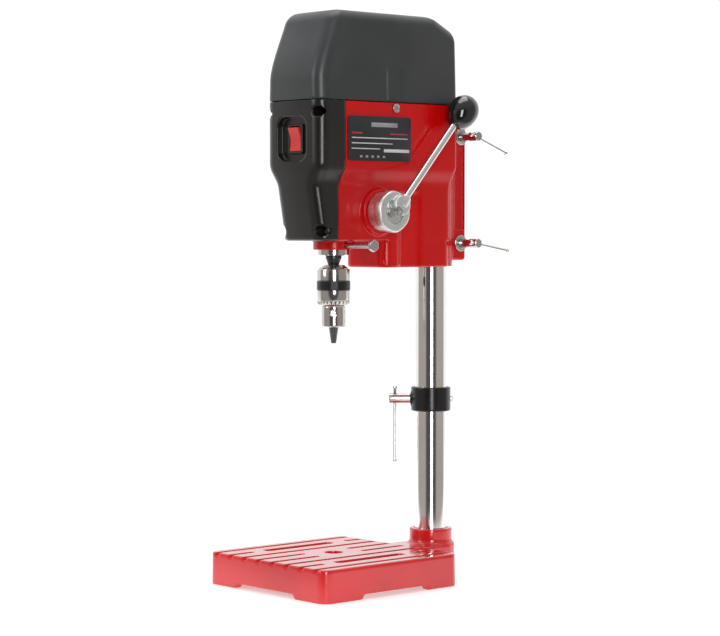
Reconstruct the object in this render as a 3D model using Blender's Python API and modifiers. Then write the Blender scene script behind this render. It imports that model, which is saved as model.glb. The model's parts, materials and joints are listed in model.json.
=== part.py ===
"""Small bench drill press: cast base, chromed column, belt-driven head on a split clamp.

Frame: metres, +Z up. The origin is on the floor, on the column's axis. The machine faces -Y,
and the feed lever is on its +X side.
"""
import math

import bmesh
import bpy
from mathutils import Matrix
from mathutils import Vector

# clearances
GAP = 0.0003          # between pieces that touch
THREAD_R = 0.0003     # radial gap of a screw in its hole
SEGMENTS = 24         # facets of a large round piece
SMALL_SEGMENTS = 10   # facets of a small round piece

# column
COLUMN_R = 0.016
COLUMN_WALL = 0.0025
COLUMN_TOP = 0.528
CAP_T = 0.002
CAP_PLUG = 0.008
SET_SCREW_R = 0.003
SET_SCREW_Z = 0.0375

# base
BASE_HALF_W = 0.086
BASE_D = 0.171
BASE_H = 0.031
BASE_CORNER_R = 0.010
BASE_WALL = 0.007
BASE_TOP_T = 0.009
TABLE_REAR_Y = -0.0438
TABLE_FRONT_Y = TABLE_REAR_Y - BASE_D
TAIL_H = 0.029
SOCKET_R = COLUMN_R + 0.0055
TAIL_R = SOCKET_R + 0.0025
SOCKET_TOP = 0.044
SOCKET_FLOOR = 0.008
GROOVE_PITCH = 0.0208
GROOVE_W = 0.0055
GROOVE_DEPTH = 0.0026
SLOT_W = 0.010
SLOT_START = 0.043    # from the table's front edge
SLOT_LENGTH = 0.086
TABLE_HOLE_R = 0.00875
FOOT_ARCH_H = 0.0044
FOOT_ARCH_HALF_W = 0.044
SIDE_ARCH_START = 0.046
SIDE_ARCH_LENGTH = 0.084

# collar on the column
COLLAR_R = COLUMN_R + 0.0038
COLLAR_LOW = 0.161
COLLAR_HIGH = 0.185
COLLAR_SCREW_WAY = Vector((-0.666, -0.746, 0.0)).normalized()
COLLAR_HUB_R = 0.0052
COLLAR_HUB_START = COLLAR_R + 0.0042
COLLAR_HUB_END = COLLAR_HUB_START + 0.018
COLLAR_BAR_AT = COLLAR_HUB_START + 0.012
COLLAR_SCREW_R = 0.003
BAR_R = 0.0017
BAR_TIP_R = 0.0024
BAR_TIP = 0.003
COLLAR_BAR_TOP = 0.017
COLLAR_BAR_DROP = 0.064

# quill and spindle
SPINDLE_Y = -0.1288
QUILL_R = 0.015
QUILL_LOW = 0.3168
QUILL_HIGH = 0.400
QUILL_BOSS_R = QUILL_R + 0.0047
QUILL_BOSS_LOW = 0.3223
QUILL_BOSS_HIGH = 0.408
QUILL_BORE_R = 0.0075
BEARING_R = 0.011
BEARING_W = 0.0077
BEARING_BORE_R = 0.0053
SPINDLE_R = 0.005
SPINDLE_TOP = 0.484
NOSE_R = 0.0073
CHUCK_TOP = 0.308
TAPER_END = 0.2885

# clamp screws through the lugs
CLAMP_Z = {"lower": 0.328, "upper": 0.434}
CLAMP_BAR_DROP_DEG = {"lower": 9.5, "upper": 20.0}
CLAMP_SCREW_R = 0.004
CLAMP_Y = COLUMN_R + CLAMP_SCREW_R + 0.0077
CLAMP_HUB_R = 0.0048
CLAMP_HUB = (0.028, 0.040)
CLAMP_BAR_X = 0.0345
CLAMP_BAR = (-0.008, 0.047)
WASHER_R = 0.008
WASHER_T = 0.0016
NUT_R = 0.0075
NUT_T = 0.0065

# head casting
HEAD_HALF_W = 0.0409
LOWER_HALF_W = HEAD_HALF_W - 0.0099
HEAD_TOP = 0.463
TAPER_TOP = 0.402
TAPER_LOW = 0.384
NOSE_BOTTOM = 0.331
BLOCK_BOTTOM = 0.305
BLOCK_FRONT_Y = -0.090
BLOCK_REAR_Y = 0.001
BLOCK_CORNER_R = 0.012
BLOCK_HALF_W = LOWER_HALF_W - 0.0002
CASTING_FRONT_Y = SPINDLE_Y - QUILL_BOSS_R - GAP
HEAD_FRONT_Y = -0.1817
HEAD_REAR_Y = -0.0023
CAST_WALL = 0.004
CLAMP_R = COLUMN_R + 0.005
CLAMP_TOP = 0.455
CLAMP_SPLIT = 0.002
LUG_HALF_W = 0.013
LUG_REAR_Y = CLAMP_Y + 0.0083
LUG_LOW = 0.311
LUG_HIGH = 0.445
LUG_POCKET = (0.342, 0.426)
LUG_POCKET_DEPTH = 0.004
LUG_POCKET_Y = (CLAMP_Y - 0.0067, CLAMP_Y + 0.0068)
GLAND_R = 0.005
GLAND_BORE_R = 0.003
GLAND_FLANGE_R = 0.008
GLAND_AT = (0, -0.060, 0.320)

# chuck
SLEEVE_R = 0.0158
SLEEVE_LOW = 0.2696
SLEEVE_HIGH = 0.304
BAND_LOW = 0.2838
BAND_HIGH = 0.2927
BAND_T = 0.0007
CHUCK_CORE_R = 0.0097
CHUCK_BODY_R = 0.0116
CHUCK_BODY_LOW = 0.248
CHUCK_BORE_TOP = 0.279
KEY_HOLE_R = 0.003
KEY_HOLE_Z = 0.262
JAW_R = 0.0045        # at the chuck's mouth
JAW_SLOPE = math.tan(math.radians(8))
JAW_TIP_R = 0.0029
JAW_TIP = 0.2325
JAW_TOP = 0.2705

# feed
FEED_Z = 0.3587
TEETH = 18
GEAR_MODULE = 0.0015
PINION_R = GEAR_MODULE * TEETH / 2
FEED_Y = SPINDLE_Y + QUILL_R + PINION_R + 0.0005
GEAR_HALF_W = 0.005
FEED_SHAFT_R = 0.006
FEED_BOSS_R = 0.0222
FEED_BOSS_X = LOWER_HALF_W + 0.005
HUB_R = 0.019
HUB_FLANGE_R = 0.0215
HUB_FLANGE_X = FEED_BOSS_X + 0.013
HUB_FRONT_X = HUB_FLANGE_X + 0.006
HUB_RECESS_R = 0.009
HUB_RECESS = 0.003
LEVER_DEG = 48.0
LEVER_WAY = Vector((0.0, math.cos(math.radians(LEVER_DEG)), math.sin(math.radians(LEVER_DEG))))
LEVER_X = HUB_FRONT_X + 0.0025
LEVER_R = 0.0034
LEVER_START = 0.011
SOCKET_LOBE_R = 0.0065
SOCKET_LOBE = (0.008, 0.022)
KNOB_REACH = 0.130
KNOB_HALF_L = 0.0185
KNOB_R = 0.0150
KNOB_HOLE = 0.010
KNOB_SWEEP_DEG = 158.0   # from the knob's tip to its flat end
RACK_HALF_W = 0.003
RACK_LOW = 0.351
SPRING_CAP_R = 0.0175
SPRING_CAP_DEPTH = 0.013

# belt drive
PLATE_LOW = 0.4463
PLATE_T = 0.004
PLATE_HALF_W = HEAD_HALF_W - CAST_WALL - 0.0009
PLATE_FRONT_Y = CASTING_FRONT_Y + 0.0068
PLATE_REAR_Y = -CLAMP_R - 0.003
PLATE_SCREW = (PLATE_HALF_W - 0.0045, -0.112)
LEDGE_YS = (PLATE_SCREW[1], -0.034)
MOTOR_Y = -0.0505
MOTOR_R = 0.025
MOTOR_LOW = 0.352
MOTOR_WALL = 0.004
MOTOR_SHAFT_R = 0.003
MOTOR_SCREW_X = 0.016
MOTOR_REGISTER_R = 0.008
ARMATURE_R = 0.017
PULLEY_LOW = 0.4675
PULLEY_HIGH = 0.4815
PULLEY_FLANGE = 0.002
MOTOR_PULLEY_R = 0.009
SPINDLE_PULLEY_R = 0.022
PULLEY_HUB_R = 0.0085
PULLEY_BEARING_R = 0.013
BELT_T = 0.0022

# hood
HOOD_TOP = 0.5485
HOOD_SHOULDER_Z = 0.500
HOOD_TOP_FRONT_Y = -0.162
HOOD_TOP_REAR_Y = -0.029
HOOD_REAR_SHOULDER_Z = 0.535
HOOD_WALL = 0.0025
HOOD_TOP_HALF_W = HEAD_HALF_W - 0.0024
HOOD_EDGE_R = 0.010
CHANNEL_R = COLUMN_R + 0.0015
HOOD_SCREW_Y = -0.0855
HOOD_SCREW_Z = 0.4575
HOOD_TAB = 0.0035

# front cover
COVER_WALL = 0.003
COVER_BEND_Z = 0.397
COVER_SET_BACK = 0.0115
COVER_CORNER_R = 0.012
RECESS_HALF = 0.0207
RECESS_R = 0.010
RECESS_DEPTH = 0.007
SWITCH_Z = 0.427
BEZEL_HALF_W = 0.0105
BEZEL_HALF_H = 0.014
BEZEL_T = 0.002
SWITCH_HALF_W = 0.0090
SWITCH_HALF_H = 0.0128
SWITCH_DEPTH = 0.014
ROCKER_HALF_W = 0.0076
ROCKER_R = 0.0117
ROCKER_TILT_DEG = 7.0
COVER_SCREW_HEAD_R = 0.0038
COVER_SCREW_WELL_R = 0.0050
COVER_SCREW_SEAT_Y = CASTING_FRONT_Y - 0.0092
COVER_SCREWS = [(side * x, z) for x, z in ((HEAD_HALF_W - 0.0066, 0.452), (LOWER_HALF_W - 0.0052, 0.3405))
                for side in (1, -1)]
SCREW_R = 0.002

# nameplate
NAMEPLATE_Y = (CASTING_FRONT_Y + 0.0021, -0.0665)
NAMEPLATE_Z = (0.4067, 0.449)
NAMEPLATE_T = 0.0008

# quill lock
LOCK_Z = 0.3265
LOCK_R = 0.0025
LOCK_HEAD = (LOWER_HALF_W + 0.024, LOWER_HALF_W + 0.028)
HEX_R = 0.0057

# pieces with so many cuts that the exact solver leaves them open
MANY_CUTS = ("head_casting", "front_cover")

UP = Vector((0, 0, 1))
RIGHT = Vector((1, 0, 0))
REARWARD = Vector((0, 1, 0))
QUARTER = math.pi / 2


def start():
    """Empties the scene and returns the collection of parts and that of the cutters."""
    for obj in list(bpy.data.objects):
        bpy.data.objects.remove(obj)
    made = []
    for name in ("drill_press", "cutters"):
        collection = bpy.data.collections.new(name)
        bpy.context.scene.collection.children.link(collection)
        made.append(collection)
    return made


PARTS, CUTTERS = start()


def finish_of(name, color, roughness, metallic):
    material = bpy.data.materials.new(name)
    material.use_nodes = True
    shader = material.node_tree.nodes["Principled BSDF"]
    shader.inputs["Base Color"].default_value = (*color, 1)
    shader.inputs["Roughness"].default_value = roughness
    shader.inputs["Metallic"].default_value = metallic
    return material


RED = ("red_paint", (0.55, 0.004, 0.006), 0.25, 0.0)
HOOD_GREY = ("hood_plastic", (0.06, 0.065, 0.07), 0.5, 0.0)
BLACK = ("black_plastic", (0.012, 0.012, 0.01), 0.3, 0.0)
CHROME = ("chrome", (0.8, 0.8, 0.82), 0.08, 1.0)
STEEL = ("steel", (0.55, 0.55, 0.56), 0.3, 1.0)
CAST_ALUMINIUM = ("cast_aluminium", (0.55, 0.56, 0.57), 0.45, 1.0)
DARK_STEEL = ("dark_steel", (0.08, 0.08, 0.085), 0.4, 1.0)
RUBBER = ("rubber", (0.015, 0.015, 0.015), 0.8, 0.0)
SWITCH_RED = ("switch_red", (0.7, 0.02, 0.01), 0.3, 0.0)
LABEL = ("label", (0.05, 0.052, 0.058), 0.4, 0.0)


def keep(obj, look):
    """Puts a finished piece among the parts, with a material of its own."""
    PARTS.objects.link(obj)
    obj.data.materials.append(finish_of(obj.name, *look[1:]))
    obj.data.shade_smooth()
    obj.data.set_sharp_from_angle(angle=math.radians(35))
    return obj


def tool(obj):
    """Puts a shape that only cuts or joins another among the cutters."""
    CUTTERS.objects.link(obj)
    obj.hide_render = True
    obj.display_type = "WIRE"
    return obj


def boolean(target, other, operation):
    if not other.users_collection:
        tool(other)
    modifier = target.modifiers.new(operation.lower(), "BOOLEAN")
    modifier.operation = operation
    modifier.object = other
    modifier.solver = "MANIFOLD" if target.name in MANY_CUTS else "EXACT"
    return target


def cut(target, *others):
    for other in others:
        boolean(target, other, "DIFFERENCE")
    return target


def add(target, *others):
    for other in others:
        boolean(target, other, "UNION")
    return target


def common(target, other):
    return boolean(target, other, "INTERSECT")


def turned(name, profile, at=(0, 0, 0), towards=UP, ring=False, steps=SEGMENTS):
    """A profile of (radius, height) points, top to bottom, turned about the line from at."""
    mesh = bpy.data.meshes.new(name)
    points = [(radius, 0, height) for radius, height in profile]
    edges = [(i, i + 1) for i in range(len(points) - 1)]
    if ring:
        edges.append((len(points) - 1, 0))
    mesh.from_pydata(points, edges, [])
    obj = bpy.data.objects.new(name, mesh)
    screw = obj.modifiers.new("turn", "SCREW")
    screw.steps = steps
    screw.render_steps = steps
    screw.use_merge_vertices = True
    screw.merge_threshold = 0.00001
    obj.location = at
    obj.rotation_mode = "QUATERNION"
    obj.rotation_quaternion = Vector(towards).to_track_quat("Z", "Y")
    return obj


def rod(name, radius, low, high, at=(0, 0, 0), towards=UP, steps=SEGMENTS):
    profile = [(0, high), (radius, high), (radius, low), (0, low)]
    return turned(name, profile, at, towards, steps=steps)


def chamfered(name, radius, low, high, chamfer, at=(0, 0, 0), towards=UP, steps=SEGMENTS):
    profile = [(0, high), (radius - chamfer, high), (radius, high - chamfer),
               (radius, low + chamfer), (radius - chamfer, low), (0, low)]
    return turned(name, profile, at, towards, steps=steps)


def ring_of(name, outer, inner, low, high, at=(0, 0, 0), towards=UP, steps=SEGMENTS):
    profile = [(outer, high), (outer, low), (inner, low), (inner, high)]
    return turned(name, profile, at, towards, ring=True, steps=steps)


AXES = {
    "Z": Matrix.Identity(3),
    "X": Matrix(((0, 0, 1), (1, 0, 0), (0, 1, 0))),
    "Y": Matrix(((1, 0, 0), (0, 0, -1), (0, 1, 0))),
}


def extruded(name, outlines, low, high, along="Z"):
    """Flat outlines, of (x, y), (y, z) or (x, z) points, made solid from low to high."""
    curve = bpy.data.curves.new(name, "CURVE")
    curve.dimensions = "2D"
    curve.fill_mode = "BOTH"
    curve.extrude = (high - low) / 2
    for outline in outlines:
        spline = curve.splines.new("POLY")
        spline.points.add(len(outline) - 1)
        for point, (u, v) in zip(spline.points, outline):
            point.co = (u, v, 0, 1)
        spline.use_cyclic_u = True
    guide = bpy.data.objects.new(name + "_outline", curve)
    bpy.context.scene.collection.objects.link(guide)
    shown = guide.evaluated_get(bpy.context.evaluated_depsgraph_get())
    mesh = bpy.data.meshes.new_from_object(shown)
    bpy.data.objects.remove(guide)
    form = bmesh.new()
    form.from_mesh(mesh)
    bmesh.ops.remove_doubles(form, verts=form.verts, dist=0.000001)
    bmesh.ops.recalc_face_normals(form, faces=form.faces)
    form.to_mesh(mesh)
    form.free()
    mesh.name = name
    obj = bpy.data.objects.new(name, mesh)
    obj.rotation_euler = AXES[along].to_euler()
    middle = (low + high) / 2
    obj.location = {"X": (middle, 0, 0), "Y": (0, middle, 0), "Z": (0, 0, middle)}[along]
    return obj


def block(name, low, high, bevel=0.0, segments=2):
    """A box between two corners, its edges rounded where bevel is given."""
    low = Vector(low)
    size = Vector(high) - low
    form = bmesh.new()
    bmesh.ops.create_cube(form, size=1)
    bmesh.ops.scale(form, vec=size, verts=form.verts)
    mesh = bpy.data.meshes.new(name)
    form.to_mesh(mesh)
    form.free()
    obj = bpy.data.objects.new(name, mesh)
    obj.location = low + size / 2
    if bevel:
        rounding = obj.modifiers.new("rounding", "BEVEL")
        rounding.width = bevel
        rounding.segments = segments
    return obj


def arc(centre, radius, start_deg, end_deg, steps=6):
    turn = [math.radians(start_deg + (end_deg - start_deg) * i / steps) for i in range(steps + 1)]
    return [(centre[0] + radius * math.cos(a), centre[1] + radius * math.sin(a)) for a in turn]


def rounded(low, high, radius, steps=5):
    """A rectangle's outline with round corners."""
    points = []
    corners = [(high[0] - radius, high[1] - radius), (low[0] + radius, high[1] - radius),
               (low[0] + radius, low[1] + radius), (high[0] - radius, low[1] + radius)]
    for i, corner in enumerate(corners):
        points += arc(corner, radius, 90 * i, 90 * (i + 1), steps)
    return points


def stadium(x, y_low, y_high, width):
    radius = width / 2
    high = arc((x, y_high - radius), radius, 0, 180, 4)
    return high + arc((x, y_low + radius), radius, 180, 360, 4)


def hexagon(centre, radius):
    return arc(centre, radius, 0, 300, 5)


def pivot(name, at, *pieces):
    """An empty on a joint's axis, which the pieces follow."""
    empty = bpy.data.objects.new(name, None)
    empty.location = at
    PARTS.objects.link(empty)
    for piece in pieces:
        piece.parent = empty
        piece.matrix_parent_inverse = Matrix.Translation(at).inverted()


def groove_outlines():
    """The table's grooves and, for the second and seventh of them, the stretches beside a slot."""
    half = GROOVE_PITCH / 2
    front = TABLE_FRONT_Y - GROOVE_W
    rear = TABLE_REAR_Y - 0.004
    middle = SPINDLE_Y
    outlines = []
    for side in (-1, 1):
        for place in (3, 7):
            outlines.append(stadium(side * half * place, front, rear, GROOVE_W))
        slot_low = TABLE_FRONT_Y + SLOT_START
        beside_slot = half * 5 * side
        outlines.append(stadium(beside_slot, front, slot_low - 0.0135, GROOVE_W))
        outlines.append(stadium(beside_slot, slot_low + SLOT_LENGTH + 0.0165, rear, GROOVE_W))
        outlines.append(stadium(side * half, front, middle - 0.028, GROOVE_W))
        outlines.append(stadium(side * half, middle + 0.027, rear, GROOVE_W))
    return outlines


def arch(low, high):
    slope = FOOT_ARCH_H * 0.8
    return [(low, -0.001), (high, -0.001), (high, 0), (high - slope, FOOT_ARCH_H),
            (low + slope, FOOT_ARCH_H), (low, 0)]


def make_base():
    table = [rounded((-BASE_HALF_W, TABLE_FRONT_Y), (BASE_HALF_W, TABLE_REAR_Y), BASE_CORNER_R)]
    base = keep(extruded("base", table, 0, BASE_H), RED)
    tail = arc((0, 0), TAIL_R, 0, 180, 16)
    tail += [(-TAIL_R, TABLE_REAR_Y - BASE_WALL / 2), (TAIL_R, TABLE_REAR_Y - BASE_WALL / 2)]
    flare = 0.002
    socket = [(0, SOCKET_TOP), (SOCKET_R - 0.001, SOCKET_TOP), (SOCKET_R, SOCKET_TOP - 0.001),
              (SOCKET_R, TAIL_H + flare), (SOCKET_R + flare, TAIL_H), (SOCKET_R, TAIL_H - flare),
              (SOCKET_R, 0.001), (0, 0.001)]
    add(base, extruded("tail", [tail], 0, TAIL_H), turned("socket", socket))
    inner_low = (-BASE_HALF_W + BASE_WALL, TABLE_FRONT_Y + BASE_WALL)
    inner_high = (BASE_HALF_W - BASE_WALL, TABLE_REAR_Y - BASE_WALL)
    hollow = rounded(inner_low, inner_high, BASE_CORNER_R / 2, 3)
    cut(base, extruded("underside", [hollow], -0.001, BASE_H - BASE_TOP_T))
    cut(base, extruded("grooves", groove_outlines(), BASE_H - GROOVE_DEPTH, BASE_H + 0.001))
    slot_low = TABLE_FRONT_Y + SLOT_START
    slots = [stadium(side * GROOVE_PITCH * 2.5, slot_low, slot_low + SLOT_LENGTH, SLOT_W)
             for side in (-1, 1)]
    slots.append(arc((0, SPINDLE_Y), TABLE_HOLE_R, 0, 345, 23))
    cut(base, extruded("slots", slots, 0.01, BASE_H + 0.001))
    front_arch = arch(-FOOT_ARCH_HALF_W, FOOT_ARCH_HALF_W)
    cut(base, extruded("front_arch", [front_arch], TABLE_FRONT_Y - 0.001,
                       TABLE_FRONT_Y + BASE_WALL + 0.001, "Y"))
    side_low = TABLE_FRONT_Y + SIDE_ARCH_START
    side_arch = arch(side_low, side_low + SIDE_ARCH_LENGTH)
    cut(base, extruded("side_arches", [side_arch], -BASE_HALF_W - 0.001, BASE_HALF_W + 0.001, "X"))
    cut(base, rod("column_bore", COLUMN_R + GAP, SOCKET_FLOOR, SOCKET_TOP + 0.001))
    cut(base, rod("set_screw_hole", SET_SCREW_R + THREAD_R, COLUMN_R - 0.002, SOCKET_R + 0.002,
                  (0, 0, SET_SCREW_Z), REARWARD, SMALL_SEGMENTS))


def make_column():
    keep(ring_of("column", COLUMN_R, COLUMN_R - COLUMN_WALL, SOCKET_FLOOR + GAP, COLUMN_TOP), CHROME)
    plug_r = COLUMN_R - COLUMN_WALL - GAP
    seat = COLUMN_TOP + GAP
    cap = [(0, seat + CAP_T), (COLUMN_R - 0.001, seat + CAP_T), (COLUMN_R, seat + CAP_T - 0.001),
           (COLUMN_R, seat), (plug_r, seat), (plug_r, seat - CAP_PLUG), (0, seat - CAP_PLUG)]
    keep(turned("column_cap", cap), BLACK)
    screw = chamfered("column_set_screw", SET_SCREW_R, COLUMN_R + GAP, SOCKET_R + 0.001, 0.0004,
                      (0, 0, SET_SCREW_Z), REARWARD, SMALL_SEGMENTS)
    keep(screw, DARK_STEEL)
    cut(screw, hex_recess("set_screw_socket", (0, SET_SCREW_Z), 0.0015, SOCKET_R - 0.001,
                          SOCKET_R + 0.002))


def hex_recess(name, centre, radius, low, high):
    return extruded(name, [hexagon(centre, radius)], low, high, "Y")


def tommy_bar(name, low, high, at, towards, look=CHROME):
    """A sliding bar with a rounded tip at each end."""
    profile = [(0, high), (BAR_TIP_R - 0.0008, high), (BAR_TIP_R, high - 0.0008),
               (BAR_TIP_R, high - BAR_TIP), (BAR_R, high - BAR_TIP), (BAR_R, low + BAR_TIP),
               (BAR_TIP_R, low + BAR_TIP), (BAR_TIP_R, low + 0.0008),
               (BAR_TIP_R - 0.0008, low), (0, low)]
    return keep(turned(name, profile, at, towards, steps=SMALL_SEGMENTS), look)


def bar_screw(name, at, towards, shaft_r, tip, hub_r, hub, bar_at, bar_way):
    """A screw with a cross-drilled hub for its tommy bar."""
    profile = [(0, hub[1]), (hub_r - 0.0008, hub[1]), (hub_r, hub[1] - 0.0008),
               (hub_r, hub[0] + 0.0008), (hub_r - 0.0008, hub[0]), (shaft_r, hub[0]),
               (shaft_r, tip + 0.0005), (shaft_r - 0.0005, tip), (0, tip)]
    screw = keep(turned(name, profile, at, towards, steps=SMALL_SEGMENTS), STEEL)
    middle = Vector(at) + Vector(towards) * bar_at
    cut(screw, rod(name + "_cross_hole", BAR_R + GAP, -0.01, 0.01, middle, bar_way, SMALL_SEGMENTS))
    return middle


def make_collar():
    middle = (0, 0, (COLLAR_LOW + COLLAR_HIGH) / 2)
    edge = 0.0012
    profile = [(COLLAR_R - edge, COLLAR_HIGH), (COLLAR_R, COLLAR_HIGH - edge),
               (COLLAR_R, COLLAR_LOW + edge), (COLLAR_R - edge, COLLAR_LOW),
               (COLUMN_R + GAP, COLLAR_LOW), (COLUMN_R + GAP, COLLAR_HIGH)]
    ring = keep(turned("collar_ring", profile, ring=True), BLACK)
    shaft_r = COLLAR_SCREW_R
    inside = COLUMN_R - 0.002
    cut(ring, rod("collar_screw_hole", shaft_r + THREAD_R, inside, COLLAR_R + 0.002, middle,
                  COLLAR_SCREW_WAY, SMALL_SEGMENTS))
    cut(ring, rod("collar_grub_hole", shaft_r + THREAD_R, inside, COLLAR_R + 0.002, middle,
                  -COLLAR_SCREW_WAY, SMALL_SEGMENTS))
    bar_point = bar_screw("collar_screw", middle, COLLAR_SCREW_WAY, shaft_r, COLUMN_R + 2 * GAP,
                          COLLAR_HUB_R, (COLLAR_HUB_START, COLLAR_HUB_END), COLLAR_BAR_AT, UP)
    tommy_bar("collar_bar", -COLLAR_BAR_DROP, COLLAR_BAR_TOP, bar_point, UP)
    keep(chamfered("collar_grub_screw", shaft_r, COLUMN_R + 2 * GAP, COLLAR_R + 0.002, 0.0004, middle,
                   -COLLAR_SCREW_WAY, SMALL_SEGMENTS), STEEL)


def head_section(inset=0.0, low=NOSE_BOTTOM, high=HEAD_TOP):
    """The head's outline across the machine: wide above, narrow below."""
    upper = HEAD_HALF_W - inset
    lower = LOWER_HALF_W - inset
    return [(-lower, low), (lower, low), (lower, TAPER_LOW), (upper, TAPER_TOP),
            (upper, high), (-upper, high), (-upper, TAPER_TOP), (-lower, TAPER_LOW)]


def spindle_at(z=0.0):
    return (0, SPINDLE_Y, z)


def make_head_casting():
    casting = extruded("head_casting", [head_section()], CASTING_FRONT_Y, HEAD_REAR_Y, "Y")
    keep(casting, RED)
    plan = rounded((-BLOCK_HALF_W, BLOCK_FRONT_Y), (BLOCK_HALF_W, BLOCK_REAR_Y), BLOCK_CORNER_R)
    add(casting, extruded("lower_block", [plan], BLOCK_BOTTOM, TAPER_LOW - 0.001))
    inside = head_section(CAST_WALL, NOSE_BOTTOM + CAST_WALL, HEAD_TOP + 0.001)
    cut(casting, extruded("casting_hollow", [inside], CASTING_FRONT_Y + CAST_WALL,
                          HEAD_REAR_Y - CAST_WALL, "Y"))
    pocket_x = LOWER_HALF_W - CAST_WALL
    cut(casting, block("block_hollow", (-pocket_x, BLOCK_FRONT_Y + CAST_WALL, BLOCK_BOTTOM + CAST_WALL),
                       (pocket_x, -CLAMP_R - 0.002, NOSE_BOTTOM + CAST_WALL + 0.001)))
    add(casting, rod("clamp_barrel", CLAMP_R, BLOCK_BOTTOM + 0.0005, CLAMP_TOP))
    add(casting, block("lugs", (-LUG_HALF_W, COLUMN_R - 0.006, LUG_LOW), (LUG_HALF_W, LUG_REAR_Y, LUG_HIGH), 0.002))
    add(casting, rod("quill_boss", QUILL_BOSS_R, QUILL_BOSS_LOW, QUILL_BOSS_HIGH, spindle_at()))
    axis = (0, FEED_Y, FEED_Z)
    inner = LOWER_HALF_W - CAST_WALL + 0.001
    for side, way in (("right", RIGHT), ("left", -RIGHT)):
        add(casting, rod("feed_boss_" + side, FEED_BOSS_R, inner, FEED_BOSS_X, axis, way))
    for side in (-1, 1):
        for y in LEDGE_YS:
            edges = sorted((side * (PLATE_HALF_W - 0.009), side * (HEAD_HALF_W - CAST_WALL / 2)))
            add(casting, block("ledge", (edges[0], y - 0.005, TAPER_TOP + 0.002),
                               (edges[1], y + 0.005, PLATE_LOW - GAP)))
        cut(casting, rod("plate_screw_hole", SCREW_R + THREAD_R, PLATE_LOW - 0.012, PLATE_LOW,
                         (side * PLATE_SCREW[0], PLATE_SCREW[1], 0), UP, SMALL_SEGMENTS))
    cut(casting, rod("head_column_bore", COLUMN_R + GAP, BLOCK_BOTTOM - 0.001, HEAD_TOP + 0.001))
    cut(casting, block("clamp_split", (-CLAMP_SPLIT / 2, COLUMN_R - 0.004, BLOCK_BOTTOM - 0.001),
                       (CLAMP_SPLIT / 2, LUG_REAR_Y + 0.001, CLAMP_TOP + 0.001)))
    for side in (-1, 1):
        edges = sorted((side * (LUG_HALF_W - LUG_POCKET_DEPTH), side * (LUG_HALF_W + 0.001)))
        cut(casting, block("lug_pocket", (edges[0], LUG_POCKET_Y[0], LUG_POCKET[0]),
                           (edges[1], LUG_POCKET_Y[1], LUG_POCKET[1])))
    for z in CLAMP_Z.values():
        cut(casting, rod("clamp_hole", CLAMP_SCREW_R + THREAD_R, -0.02, 0.02, (0, CLAMP_Y, z), RIGHT,
                         SMALL_SEGMENTS))
    cut(casting, rod("quill_bore", QUILL_R + GAP, QUILL_BOSS_LOW - 0.001, QUILL_BOSS_HIGH + 0.001,
                     spindle_at()))
    rack_way = SPINDLE_Y + QUILL_R
    cut(casting, block("rack_way", (-RACK_HALF_W - GAP, rack_way - 0.006, QUILL_BOSS_LOW - 0.001),
                       (RACK_HALF_W + GAP, rack_way + 0.0026, QUILL_BOSS_HIGH + 0.001)))
    reach = PINION_R + 2 * GEAR_MODULE
    cut(casting, block("pinion_window", (-GEAR_HALF_W - 0.002, SPINDLE_Y + QUILL_R - 0.005, FEED_Z - reach),
                       (GEAR_HALF_W + 0.002, FEED_Y, FEED_Z + reach)))
    cut(casting, rod("feed_bore", FEED_SHAFT_R + GAP, -FEED_BOSS_X - 0.001, FEED_BOSS_X + 0.001, axis, RIGHT))
    cut(casting, rod("lock_hole", LOCK_R + THREAD_R, QUILL_R - 0.003, QUILL_BOSS_R + 0.002, spindle_at(LOCK_Z),
                     RIGHT, SMALL_SEGMENTS))
    for x, z in COVER_SCREWS:
        cut(casting, rod("cover_screw_hole", SCREW_R + THREAD_R, CASTING_FRONT_Y - 0.001,
                         CASTING_FRONT_Y + CAST_WALL + 0.001, (x, 0, z), REARWARD, SMALL_SEGMENTS))
    cut(casting, rod("hood_screw_holes", SCREW_R + THREAD_R, -HEAD_HALF_W - 0.001, HEAD_HALF_W + 0.001,
                     (0, HOOD_SCREW_Y, HOOD_SCREW_Z), RIGHT, SMALL_SEGMENTS))
    cut(casting, rod("gland_hole", GLAND_R + GAP, LOWER_HALF_W - CAST_WALL - 0.001,
                     LOWER_HALF_W + 0.001, GLAND_AT, -RIGHT, SMALL_SEGMENTS))


def make_gland():
    """The cord's inlet on the left of the head."""
    wall = LOWER_HALF_W
    bore_r = GLAND_BORE_R
    profile = [(GLAND_R - 0.0005, wall + 0.012), (GLAND_R, wall + 0.0035),
               (GLAND_FLANGE_R, wall + 0.003), (GLAND_FLANGE_R, wall + GAP), (GLAND_R, wall + GAP), (GLAND_R, wall - CAST_WALL - 0.001),
               (bore_r, wall - CAST_WALL - 0.001), (bore_r, wall + 0.012)]
    keep(turned("cord_inlet", profile, GLAND_AT, -RIGHT, ring=True, steps=SMALL_SEGMENTS), RUBBER)


def cover_side(inset=0.0):
    """The front cover's outline seen from the side."""
    rear = CASTING_FRONT_Y - GAP
    front = HEAD_FRONT_Y + inset
    back = rear + 0.001 if inset else rear
    return [(back, NOSE_BOTTOM + inset), (front + COVER_SET_BACK, NOSE_BOTTOM + inset),
            (front, COVER_BEND_Z), (front, HEAD_TOP - inset), (back, HEAD_TOP - inset)]


def cover_plan(half_w, inset=0.0):
    """The front cover's outline seen from above, at the width given."""
    radius = COVER_CORNER_R - inset
    front = HEAD_FRONT_Y + inset
    back = CASTING_FRONT_Y + 0.01
    left = arc((-half_w + radius, front + radius), radius, 180, 270)
    right = arc((half_w - radius, front + radius), radius, 270, 360)
    return left + right + [(half_w, back), (-half_w, back)]


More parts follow.
